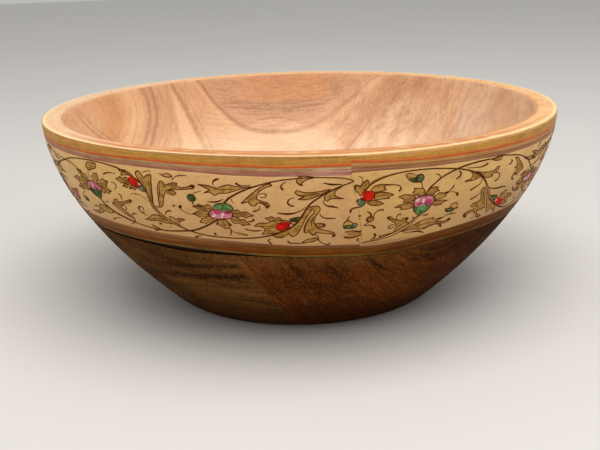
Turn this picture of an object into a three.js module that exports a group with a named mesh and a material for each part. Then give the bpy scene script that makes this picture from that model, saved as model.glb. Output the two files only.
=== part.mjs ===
// A wooden salad bowl, turned from one block, with a painted strip let into its outside below the rim.
// Lengths are in millimetres, +Z is up, and the origin is the centre of the flat underside.
import * as THREE from 'three';

// The turned bowl
const rimDiameter = 300;
const bowlHeight = 111;
const footDiameter = 160;
const rimWidth = 12;
const floorThickness = 14;
// How full the outside swells between foot and rim: 1 is a straight cone, more is rounder.
const outsideExponent = 1.75;
// The inside is a superellipse in section: 2 is an ellipse, more is squarer at the bottom.
const insideExponent = 2.15;
const rimEdgeHeight = 0.7;
const footEdgeHeight = 3;

// The painted strip, from the rim down: each height is that stripe's own
const lipHeight = 0.2;
const goldStripeHeight = 3.3;
const upperRedHeight = 1.1;
const upperGreyHeight = 1.5;
const upperMauveHeight = 2.8;
const creamBandHeight = 36.8;
const lowerMauveHeight = 1.4;
const lowerBrownHeight = 2.4;
const lowerRedHeight = 1.8;
const lowerGreenHeight = 1.8;
// The strip lies in a shallow turned seat, stands a little proud of the wood and has a groove under it.
const seatDepth = 0.5;
const stripProud = 0.15;
const grooveHeight = 1.3;

// Steps round the bowl and along each curve
const turnSteps = 72;
const sideSteps = 8;
const bandSteps = 6;
const insideSteps = 13;
const arrisSteps = 2;

const rimRadius = rimDiameter / 2;
const footRadius = footDiameter / 2;
const insideRadius = rimRadius - rimWidth;
const insideDepth = bowlHeight - floorThickness;
const stripTop = bowlHeight - rimEdgeHeight - lipHeight;

const wood = new THREE.MeshStandardMaterial({ color: 0xb98352, roughness: 0.42, metalness: 0 });

function paint(color) {
  return new THREE.MeshStandardMaterial({ color, roughness: 0.35, metalness: 0 });
}

// The stripes of the strip, listed from the rim down.
const stripes = [
  { name: 'gold_rim_stripe', height: goldStripeHeight, steps: 1, material: paint(0xb9793f) },
  { name: 'upper_red_line', height: upperRedHeight, steps: 1, material: paint(0xc15a2b) },
  { name: 'upper_grey_line', height: upperGreyHeight, steps: 1, material: paint(0xa99270) },
  { name: 'upper_mauve_line', height: upperMauveHeight, steps: 1, material: paint(0xa26a58) },
  { name: 'cream_band', height: creamBandHeight, steps: bandSteps, material: paint(0xc89a62) },
  { name: 'lower_mauve_line', height: lowerMauveHeight, steps: 1, material: paint(0x84503a) },
  { name: 'lower_brown_line', height: lowerBrownHeight, steps: 1, material: paint(0x7c4c1e) },
  { name: 'lower_red_line', height: lowerRedHeight, steps: 1, material: paint(0x92401f) },
  { name: 'lower_green_line', height: lowerGreenHeight, steps: 1, material: paint(0x76592c) },
];

const stripHeight = stripes.reduce((sum, stripe) => sum + stripe.height, 0);
const stripBottom = stripTop - stripHeight;
const grooveBottom = stripBottom - grooveHeight;

// Radius of the bare wooden outside at a height above the underside.
function outsideRadius(z) {
  const down = 1 - z / bowlHeight;
  return rimRadius - (rimRadius - footRadius) * down ** outsideExponent;
}

function seatRadius(z) {
  return outsideRadius(z) - seatDepth;
}

function stripRadius(z) {
  return outsideRadius(z) + stripProud;
}

// Points on a turned surface from one height to another, both ends included.
function climb(radiusAt, from, to, steps) {
  const points = [];
  for (let i = 0; i <= steps; i += 1) {
    const z = from + ((to - from) * i) / steps;
    points.push(new THREE.Vector2(radiusAt(z), z));
  }
  return points;
}

// A rounded corner between two points of an outline.
function arris(start, corner, end) {
  return new THREE.QuadraticBezierCurve(start, corner, end).getPoints(arrisSteps);
}

// The heights where one stripe meets the next, with the steps that each stripe has between them.
function layOut(list) {
  let top = stripTop;
  return list.map((stripe) => {
    const placed = { ...stripe, top, bottom: top - stripe.height };
    top = placed.bottom;
    return placed;
  });
}

// A closed outline turned round Z. It runs up the outside of the solid, as seen at +X.
function turned(outline) {
  const geometry = new THREE.LatheGeometry(outline, turnSteps);
  geometry.rotateX(Math.PI / 2);
  return geometry;
}

// The same for an outline that runs up the solid's inner wall, which turns its faces over.
function turnedInsideFirst(outline) {
  const geometry = turned(outline);
  const index = geometry.getIndex();
  for (let i = 0; i < index.count; i += 3) {
    const first = index.getX(i);
    index.setX(i, index.getX(i + 1));
    index.setX(i + 1, first);
  }
  geometry.computeVertexNormals();
  return geometry;
}

// The strip's seat: one point for each height that a stripe has, so that wood and paint meet face to face.
function seatOutline(placed) {
  const points = climb(seatRadius, grooveBottom, stripBottom, 1);
  for (const stripe of [...placed].reverse()) {
    points.push(...climb(seatRadius, stripe.bottom, stripe.top, stripe.steps).slice(1));
  }
  return points;
}

function insideOutline() {
  const power = 2 / insideExponent;
  const start = Math.asin((rimEdgeHeight / insideDepth) ** (1 / power));
  const points = [];
  for (let i = 0; i <= insideSteps; i += 1) {
    const angle = start + ((Math.PI / 2 - start) * i) / insideSteps;
    const radius = i < insideSteps ? insideRadius * Math.cos(angle) ** power : 0;
    points.push(new THREE.Vector2(radius, bowlHeight - insideDepth * Math.sin(angle) ** power));
  }
  return points;
}

function bowlBody(placed) {
  const inside = insideOutline();
  const foot = arris(
    new THREE.Vector2(footRadius - footEdgeHeight, 0),
    new THREE.Vector2(footRadius, 0),
    new THREE.Vector2(outsideRadius(footEdgeHeight), footEdgeHeight),
  );
  const lip = bowlHeight - rimEdgeHeight;
  const outerArris = arris(
    new THREE.Vector2(outsideRadius(lip), lip),
    new THREE.Vector2(rimRadius, bowlHeight),
    new THREE.Vector2(rimRadius - rimEdgeHeight, bowlHeight),
  );
  const innerArris = arris(
    new THREE.Vector2(insideRadius + rimEdgeHeight, bowlHeight),
    new THREE.Vector2(insideRadius, bowlHeight),
    inside[0],
  );
  const outline = [
    new THREE.Vector2(0, 0),
    ...foot,
    ...climb(outsideRadius, footEdgeHeight, grooveBottom, sideSteps).slice(1),
    ...seatOutline(placed),
    new THREE.Vector2(outsideRadius(stripTop), stripTop),
    ...outerArris,
    ...innerArris,
    ...inside.slice(1),
  ];
  return turned(outline);
}

function stripeRing(stripe) {
  const inner = climb(seatRadius, stripe.bottom, stripe.top, stripe.steps);
  const outer = climb(stripRadius, stripe.top, stripe.bottom, stripe.steps);
  return turnedInsideFirst([...inner, ...outer, inner[0].clone()]);
}

function piece(name, geometry, material) {
  const mesh = new THREE.Mesh(geometry, material);
  mesh.name = name;
  return mesh;
}

const bowl = new THREE.Group();
const placedStripes = layOut(stripes);
bowl.add(piece('bowl_body', bowlBody(placedStripes), wood));
for (const stripe of placedStripes) {
  bowl.add(piece(stripe.name, stripeRing(stripe), stripe.material));
}

export default bowl;
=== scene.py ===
"""The finished look of a turned wooden salad bowl with a hand-painted strip below its rim.

Lengths are in millimetres, and become metres where a mesh is made. An angle round the bowl is
0 at the side that faces the camera and grows to the right. The painted vine is laid out on the
unrolled strip: u runs round the bowl and v runs up its outside, both in millimetres.
"""

import math

import bpy
import numpy as np
from mathutils import Matrix, Vector
from mathutils.geometry import delaunay_2d_cdt


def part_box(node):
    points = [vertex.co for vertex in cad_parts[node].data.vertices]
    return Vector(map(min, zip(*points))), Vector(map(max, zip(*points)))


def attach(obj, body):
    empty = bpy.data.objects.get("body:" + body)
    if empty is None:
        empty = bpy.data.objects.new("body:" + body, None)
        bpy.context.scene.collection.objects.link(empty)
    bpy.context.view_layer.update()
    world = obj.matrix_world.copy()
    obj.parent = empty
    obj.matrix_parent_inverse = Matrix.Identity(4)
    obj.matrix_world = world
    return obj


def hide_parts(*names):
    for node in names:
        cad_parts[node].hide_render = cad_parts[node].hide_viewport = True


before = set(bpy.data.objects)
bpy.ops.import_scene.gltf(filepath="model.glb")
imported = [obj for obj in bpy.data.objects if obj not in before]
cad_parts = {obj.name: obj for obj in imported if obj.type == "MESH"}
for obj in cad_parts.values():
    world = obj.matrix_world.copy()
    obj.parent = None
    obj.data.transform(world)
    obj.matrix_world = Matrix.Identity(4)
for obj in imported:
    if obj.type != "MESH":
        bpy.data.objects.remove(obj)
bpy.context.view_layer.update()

METRES = 0.001

# The turned shape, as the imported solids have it
RIM_RADIUS, _, BOWL_HEIGHT = np.array(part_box("bowl_body")[1]) / METRES
FOOT_RADIUS = 80.0
RIM_WIDTH = 12.0
FLOOR_THICKNESS = 14.0
OUTSIDE_EXPONENT = 1.75
INSIDE_EXPONENT = 2.15
RIM_EDGE = 0.7
FOOT_EDGE = 3.0
SEAT_DEPTH = 0.5
STRIP_PROUD = 0.15

# Fineness of the meshes
BODY_TURN_STEPS = 360
BAND_TURN_STEPS = 720
OUTSIDE_ROWS = 34
SEAT_ROWS = 12
RIM_ROWS = 5
INSIDE_ROWS = 56
# Edges that turn by more than this many degrees stay sharp
SHARP_DEGREES = 32
# Radii of the rings that the flat underside has inside its rounded edge
UNDERSIDE_RINGS = (30.0, 60.0)
# How far along each rounded edge its rings lie, from 0 to 1
FOOT_EDGE_TURNS = (0.3, 0.55, 0.8)
OUTER_EDGE_TURNS = (0.25, 0.5, 0.75, 1.0)
INNER_EDGE_TURNS = (0.3, 0.6)

# The strip's seam, as angles in degrees at the upper and the lower lines
UPPER_SEAM = 8.7
LOWER_SEAM = 11.8

# The strip's coats of paint from the rim down, each with its material slot
LINE_SLOTS = {
    "gold_rim_stripe": "gold_paint",
    "upper_red_line": "red_paint",
    "upper_grey_line": "grey_green_paint",
    "upper_mauve_line": "mauve_paint",
    "cream_band": "cream_paint",
    "lower_mauve_line": "mauve_paint",
    "lower_brown_line": "brown_paint",
    "lower_red_line": "red_paint",
    "lower_green_line": "grey_green_paint",
}
LINE_NAMES = list(LINE_SLOTS)

# The unrolled strip
UNROLLED_RADIUS = 143.0
STRIP_FOOT_HEIGHT = 64.8
# The table of distances up the outside: where it starts and how many heights it has
SLANT_FROM = 30
SLANT_COUNT = 1200
ROUND_THE_BOWL = 2 * math.pi * UNROLLED_RADIUS


# Shape of the bowl

def outside_radius(z):
    """Radius of the bare wooden outside at a height above the underside."""
    down = 1 - np.clip(z / BOWL_HEIGHT, 0, 1)
    return RIM_RADIUS - (RIM_RADIUS - FOOT_RADIUS) * down ** OUTSIDE_EXPONENT


def inside_point(turn):
    """A point (radius, height) of the inside, from turn 0 at the rim to 1 at the bottom's centre."""
    radius = RIM_RADIUS - RIM_WIDTH
    depth = BOWL_HEIGHT - FLOOR_THICKNESS
    power = 2 / INSIDE_EXPONENT
    first = math.asin((RIM_EDGE / depth) ** (1 / power))
    angle = first + (math.pi / 2 - first) * turn
    across = radius * max(math.cos(angle), 0) ** power if turn < 1 else 0.0
    return across, BOWL_HEIGHT - depth * math.sin(angle) ** power


def slant_table():
    """Heights and the distances up the outside that belong to them, 0 at the strip's foot."""
    heights = np.linspace(SLANT_FROM, BOWL_HEIGHT, SLANT_COUNT)
    steps = np.hypot(np.diff(heights), np.diff(outside_radius(heights)))
    slants = np.concatenate([[0], np.cumsum(steps)])
    return heights, slants - np.interp(STRIP_FOOT_HEIGHT, heights, slants)


SLANT_HEIGHTS, SLANTS = slant_table()


def on_strip(u, v, lift):
    """Points in metres on the painted strip, raised by lift."""
    angle = np.asarray(u) / UNROLLED_RADIUS
    height = np.interp(v, SLANTS, SLANT_HEIGHTS)
    nearby = 0.05
    slope = (outside_radius(height + nearby) - outside_radius(height - nearby)) / (2 * nearby)
    length = np.hypot(1, slope)
    proud = STRIP_PROUD + lift
    radius = outside_radius(height) + proud / length
    height = height - proud * slope / length
    return np.stack([radius * np.sin(angle), -radius * np.cos(angle), height], -1) * METRES


# Meshes

def make_mesh(name, points, faces, materials, face_materials=None):
    """A smooth-shaded object whose edges stay sharp where the surface turns strongly."""
    mesh = bpy.data.meshes.new(name)
    mesh.from_pydata([tuple(p) for p in points], [], faces)
    for material in materials:
        mesh.materials.append(material)
    if face_materials is not None:
        mesh.polygons.foreach_set("material_index", face_materials)
    mesh.shade_smooth()
    mesh.set_sharp_from_angle(angle=math.radians(SHARP_DEGREES))
    mesh.update()
    thing = bpy.data.objects.new(name, mesh)
    bpy.context.scene.collection.objects.link(thing)
    return thing


def turn_angles(steps, seam):
    """Angles in degrees round the bowl, with one close on each side of the seam and a clear stretch there."""
    close, clear = 0.02, 0.2
    even = np.arange(steps) * 360 / steps - 180
    even = even[np.abs(even - seam) > clear]
    return np.sort(np.concatenate([even, [seam - close, seam + close]]))


def turned_points(radius, height, degrees):
    """A ring of points in metres, whose radius and height can change round the bowl."""
    angle = np.radians(degrees)
    radius = np.broadcast_to(radius, angle.shape)
    height = np.broadcast_to(height, angle.shape)
    return np.stack([radius * np.sin(angle), -radius * np.cos(angle), height], -1) * METRES


def ring_faces(first, second, count):
    """Quads between two rings of points that start at these numbers."""
    return [
        (first + i, first + (i + 1) % count, second + (i + 1) % count, second + i)
        for i in range(count)
    ]


# Painted lines: how far each edge stands above its level place, in degrees and millimetres

UPPER_RED_LEFT = [(-180, 0.4), (-100, -0.6), (-56, -0.1), (-40, 0.7), (-30, 1.3), (-20, 0.9),
                  (-10, 0.8), (-3, 0.1), (UPPER_SEAM, 0.4)]
UPPER_RED_RIGHT = [(UPPER_SEAM, 1.5), (14, 0.9), (22, 0.2), (35, -0.4), (56, -0.9), (100, -0.4),
                   (180, 0.4)]
CREAM_TOP_LEFT = [(-180, 0.6), (-90, 0.9), (-56, 1.6), (-40, 2.0), (-20, 1.9), (-10, 0.9), (0, 0.4),
                  (UPPER_SEAM, 0.4)]
CREAM_TOP_RIGHT = [(UPPER_SEAM, 1.4), (16, 1.3), (24, 0.7), (32, 0.5), (40, -0.1), (56, -0.5),
                   (100, -0.1), (180, 0.6)]
CREAM_FOOT_LEFT = [(-180, 0.3), (-100, 1.2), (-60, 2.6), (-36, 3.2), (-30, 3.0), (-20, 2.8), (-8, 1.4),
                   (0, 0.0), (8, -0.7), (LOWER_SEAM, -1.3)]
CREAM_FOOT_RIGHT = [(LOWER_SEAM, -2.4), (16, -2.6), (20, -2.0), (24, -1.1), (28, 0.1), (32, 0.8),
                    (40, 1.6), (60, 1.0), (110, -0.2), (180, 0.3)]
LOWER_GREEN_LEFT = [(-180, -0.4), (-100, 0.4), (-60, 1.4), (-40, 2.8), (-30, 3.0), (-20, 2.7), (-8, 1.2),
                    (0, 0.1), (8, -0.5), (LOWER_SEAM, -1.0)]
LOWER_GREEN_RIGHT = [(LOWER_SEAM, -1.0), (16, -1.4), (20, -1.4), (24, -0.6), (28, 0.4), (32, 1.0),
                     (38, 1.6), (60, 0.8), (130, -0.6), (180, -0.4)]
# How far the first edge, between rim wood and gold paint, stands above its level place
GOLD_TOP = [(-180, 0.0), (2, 0.0), (10, -0.2), (18, -0.5), (26, -0.6), (60, -0.3), (100, 0.0), (180, 0.0)]
# Height of the open groove under the strip: wide in places, almost closed in others
GROOVE = [(-180, 1.0), (-100, 1.1), (-45, 1.4), (-36, 1.8), (-28, 2.7), (-18, 2.0), (-9, 0.7), (0, 0.3),
          (15, 0.3), (60, 0.3), (100, 0.8), (180, 1.0)]

# How far the upper red line's edges stand above the drift that they share
RED_TOP_RISE = 0.2
RED_FOOT_RISE = 0.1
# How far the lower green line's top lies below the drift that it shares with its foot
GREEN_TOP_DROP = 0.3
# How far the upper grey line's foot lies under the middle of the lines beside it, left and right of the seam
GREY_FOOT_DROPS = (0.35, 1.05)
# The small waves of a brushed line: their height in millimetres and how many go round the bowl
WOBBLE_HEIGHT = 0.05
WOBBLE_COUNTS = (5, 8, 13, 21, 34, 47)

# How much wider or narrower than its mean the rim is in front, on its inner side, over x in millimetres
RIM_GROWTH = [(-140, 0.0), (-95, 0.5), (-64, 1.8), (-45, 2.3), (-9, 1.9), (9, 1.6), (27, 0.7),
              (45, -0.8), (83, -1.2), (140, 0.0)]
LEAST_GROWTH, MOST_GROWTH = -2, 3


def cubic_weights(t):
    """Weights of the start, its slope, the end and its slope on a smooth curve, for t from 0 to 1."""
    return 2 * t**3 - 3 * t**2 + 1, t**3 - 2 * t**2 + t, 3 * t**2 - 2 * t**3, t**3 - t**2


def eased(points, at):
    """A smooth curve through (place, value) points, level at the first and last."""
    places = np.array([p[0] for p in points], float)
    values = np.array([p[1] for p in points], float)
    gradient = np.gradient(values, places)
    gradient[0] = gradient[-1] = 0
    number = np.clip(np.searchsorted(places, at) - 1, 0, len(points) - 2)
    span = places[number + 1] - places[number]
    start, leave, end, arrive = cubic_weights(np.clip((at - places[number]) / span, 0, 1))
    return (start * values[number] + leave * span * gradient[number]
            + end * values[number + 1] + arrive * span * gradient[number + 1])


def drift(left, right, seam, degrees):
    """An edge's drift round the bowl, which can jump at the seam."""
    return np.where(degrees < seam, eased(left, degrees), eased(right, degrees))


def brush_wobble(degrees, seed):
    """The small unevenness of a line that is painted on the turning bowl, in millimetres. The seed sets the
    size of each wave and where it starts."""
    angle = np.radians(degrees)
    waves = sum(
        math.sin(seed * 5.1 + count) * np.sin(count * angle + seed * 2.3 + count * count)
        for count in WOBBLE_COUNTS
    )
    return WOBBLE_HEIGHT * waves


def line_edges(degrees):
    """Height of each edge between the coats of paint, from the gold stripe's top down."""
    level = [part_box(name)[1][2] / METRES for name in LINE_NAMES]
    level.append(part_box(LINE_NAMES[-1])[0][2] / METRES)
    red = drift(UPPER_RED_LEFT, UPPER_RED_RIGHT, UPPER_SEAM, degrees)
    cream_top = drift(CREAM_TOP_LEFT, CREAM_TOP_RIGHT, UPPER_SEAM, degrees)
    cream_foot = drift(CREAM_FOOT_LEFT, CREAM_FOOT_RIGHT, LOWER_SEAM, degrees)
    green = drift(LOWER_GREEN_LEFT, LOWER_GREEN_RIGHT, LOWER_SEAM, degrees)
    grey_foot = (red + cream_top) / 2 - np.where(degrees < UPPER_SEAM, *GREY_FOOT_DROPS)
    moves = [eased(GOLD_TOP, degrees), red + RED_TOP_RISE, red + RED_FOOT_RISE, grey_foot, cream_top,
             cream_foot, cream_foot, (cream_foot + green) / 2, green - GREEN_TOP_DROP, green]
    heights = []
    for number, (z, move) in enumerate(zip(level, moves)):
        wobble = brush_wobble(degrees, number) if 0 < number < len(level) - 1 else 0
        heights.append(z + move + wobble)
    return heights


# Materials

def srgb(red, green, blue):
    """A colour as it is seen on a screen, 0 to 255, as the linear colour that a shader takes."""
    def linear(value):
        value = value / 255
        return value / 12.92 if value <= 0.04045 else ((value + 0.055) / 1.055) ** 2.4
    return (linear(red), linear(green), linear(blue), 1.0)


class Shader:
    """One material. An input is a number, a vector or another node's output. A colour is an output too, or
    the red, green and blue that are seen on a screen."""

    def __init__(self, name, roughness, coat=0.0, coat_roughness=0.1, metallic=0.0, gloss=0.5):
        self.material = bpy.data.materials.new(name)
        self.material.use_nodes = True
        self.nodes = self.material.node_tree.nodes
        self.links = self.material.node_tree.links
        self.surface = self.nodes["Principled BSDF"]
        looks = {
            "Roughness": roughness,
            "Coat Weight": coat,
            "Coat Roughness": coat_roughness,
            "Metallic": metallic,
            "Specular IOR Level": gloss,
        }
        for name_of_look, value in looks.items():
            self.surface.inputs[name_of_look].default_value = value
        self.place = self.nodes.new("ShaderNodeTexCoord").outputs["Object"]

    def put(self, socket, value):
        if isinstance(value, bpy.types.NodeSocket):
            self.links.new(value, socket)
        else:
            socket.default_value = value

    def node(self, kind, values, **settings):
        """A new node of a kind with its settings, and its first inputs filled in order."""
        node = self.nodes.new("ShaderNode" + kind)
        for setting, value in settings.items():
            setattr(node, setting, value)
        for socket, value in zip(node.inputs, values):
            self.put(socket, value)
        return node

    def math(self, operation, first, second=0.0, third=0.0):
        return self.node("Math", (first, second, third), operation=operation).outputs[0]

    def vector(self, x, y, z):
        return self.node("CombineXYZ", (x, y, z)).outputs[0]

    def stretched(self, scale):
        """The place in millimetres, times a scale along each axis."""
        from_metres = [share / METRES for share in scale]
        return self.node("VectorMath", (self.place, from_metres), operation="MULTIPLY").outputs[0]

    def axes(self):
        """The place in millimetres, as x, y and z."""
        return self.node("SeparateXYZ", (self.stretched((1, 1, 1)),)).outputs

    def turn(self, x, y):
        """The angle round the bowl in radians, 0 in front."""
        return self.math("ARCTAN2", x, self.times(y, -1.0))

    def noise(self, vector, detail=2.0, roughness=0.5, w=None):
        """Noise from 0 to 1 that changes about once in a unit of the vector, and of w if that is given."""
        node = self.nodes.new("ShaderNodeTexNoise")
        if w is not None:
            node.noise_dimensions = "4D"
            self.put(node.inputs["W"], w)
        for name, value in (("Vector", vector), ("Scale", 1.0), ("Detail", detail), ("Roughness", roughness)):
            self.put(node.inputs[name], value)
        return node.outputs["Fac"]

    def span(self, value, low, high, to_low=0.0, to_high=1.0, smooth=True):
        """Maps a value between low and high to one between to_low and to_high, and holds it beyond them."""
        way = "SMOOTHSTEP" if smooth else "LINEAR"
        return self.node("MapRange", (value, low, high, to_low, to_high), interpolation_type=way).outputs[0]

    def line(self, *terms):
        """A sum of products, such as 2*x + 3*y, from pairs of a number and an output, plus plain numbers."""
        total = 0.0
        for term in terms:
            if isinstance(term, tuple):
                total = self.math("MULTIPLY_ADD", term[1], term[0], total)
            else:
                total = self.math("ADD", total, term)
        return total

    def band(self, value, centre, half, full=1.0):
        """Full at the centre, fading to nothing at half a width from it."""
        away = self.math("ABSOLUTE", self.math("SUBTRACT", value, centre))
        return self.span(away, 0, half, full, 0)

    def chain(self, operation, values):
        total = values[0]
        for value in values[1:]:
            total = self.math(operation, total, value)
        return total

    def most(self, *values):
        return self.chain("MAXIMUM", values)

    def times(self, *values):
        return self.chain("MULTIPLY", values)

    def length(self, first, second):
        """The length of a line with these two sides at a right angle."""
        return self.math("SQRT", self.math("ADD", self.times(first, first), self.times(second, second)))

    def curve(self, value, stops, interpolation="CARDINAL"):
        """A number read off a curve, given as (place, value) stops with places from 0 to 1."""
        node = self.nodes.new("ShaderNodeValToRGB")
        node.color_ramp.interpolation = interpolation
        elements = node.color_ramp.elements
        while len(elements) < len(stops):
            elements.new(0.5)
        for element, (at, level) in zip(elements, stops):
            element.position = at
            element.color = (level, level, level, 1)
        self.put(node.inputs[0], value)
        return node.outputs[0]

    def over_x(self, x, table, low, high):
        """A table of (x, value) pairs with values from low to high, as wide to the left as to the right."""
        reach = table[-1][0]
        stops = [((at + reach) / (2 * reach), (value - low) / (high - low)) for at, value in table]
        share = self.curve(self.span(x, -reach, reach, smooth=False), stops)
        return self.line((high - low, share), low)

    def mix(self, share, first, second):
        """Blends two colours."""
        node = self.nodes.new("ShaderNodeMix")
        node.data_type = "RGBA"
        self.put(node.inputs[0], share)
        for socket, colour in zip(node.inputs[6:8], (first, second)):
            self.put(socket, srgb(*colour) if isinstance(colour, tuple) else colour)
        return node.outputs[2]

    def layered(self, colour, layers):
        """Lays colours over one another, from pairs of a share and a colour."""
        for share, tone in layers:
            colour = self.mix(share, colour, tone)
        return colour

    def bump(self, height, distance):
        """Raises the surface by height, a number from 0 to 1, times a distance in millimetres."""
        node = self.nodes.new("ShaderNodeBump")
        self.put(node.inputs["Height"], height)
        node.inputs["Distance"].default_value = distance * METRES
        node.inputs["Strength"].default_value = 1.0
        self.put(self.surface.inputs["Normal"], node.outputs[0])

    def finish(self, colour):
        self.put(self.surface.inputs["Base Color"], colour)
        return self.material


# The wood's growth rings lie round a slanted line: its place, and how fast it rises towards the back
HEART_LEFT = 6.0
HEART_LOW = -5.0
HEART_RISE = 1.2


class Grain:
    """The growth rings of the block, the same for every surface cut from it."""

    def __init__(self, shader):
        x, y, z = shader.axes()
        up = shader.line((1, z), (-HEART_RISE, y), -HEART_LOW)
        across = shader.line((1, x), HEART_LEFT)
        self.reach = shader.length(across, up)
        self.across = shader.math("DIVIDE", across, self.reach)
        self.up = shader.math("DIVIDE", up, self.reach)
        self.along = shader.line((1, y), (HEART_RISE, z))
        self.shader = shader

    def streaks(self, around, along, reach, roughness=0.5):
        """Noise drawn out along the rings: how often it changes round them, along them and across them."""
        times = self.shader.times
        vector = self.shader.vector(times(self.across, around), times(self.up, around),
                                    times(self.along, along))
        return self.shader.noise(vector, 3, roughness, times(self.reach, reach))


# The rounded end of a growth ring on the inside's back wall: its heights in even steps over x
RING_END = [121, 94.5, 77.5, 69.8, 67.5, 67.5, 70.6, 80, 92.6, 105.5, 121]
RING_END_FROM, RING_END_TO = -80.0, 70.0
HIGHEST = 125.0


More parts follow.
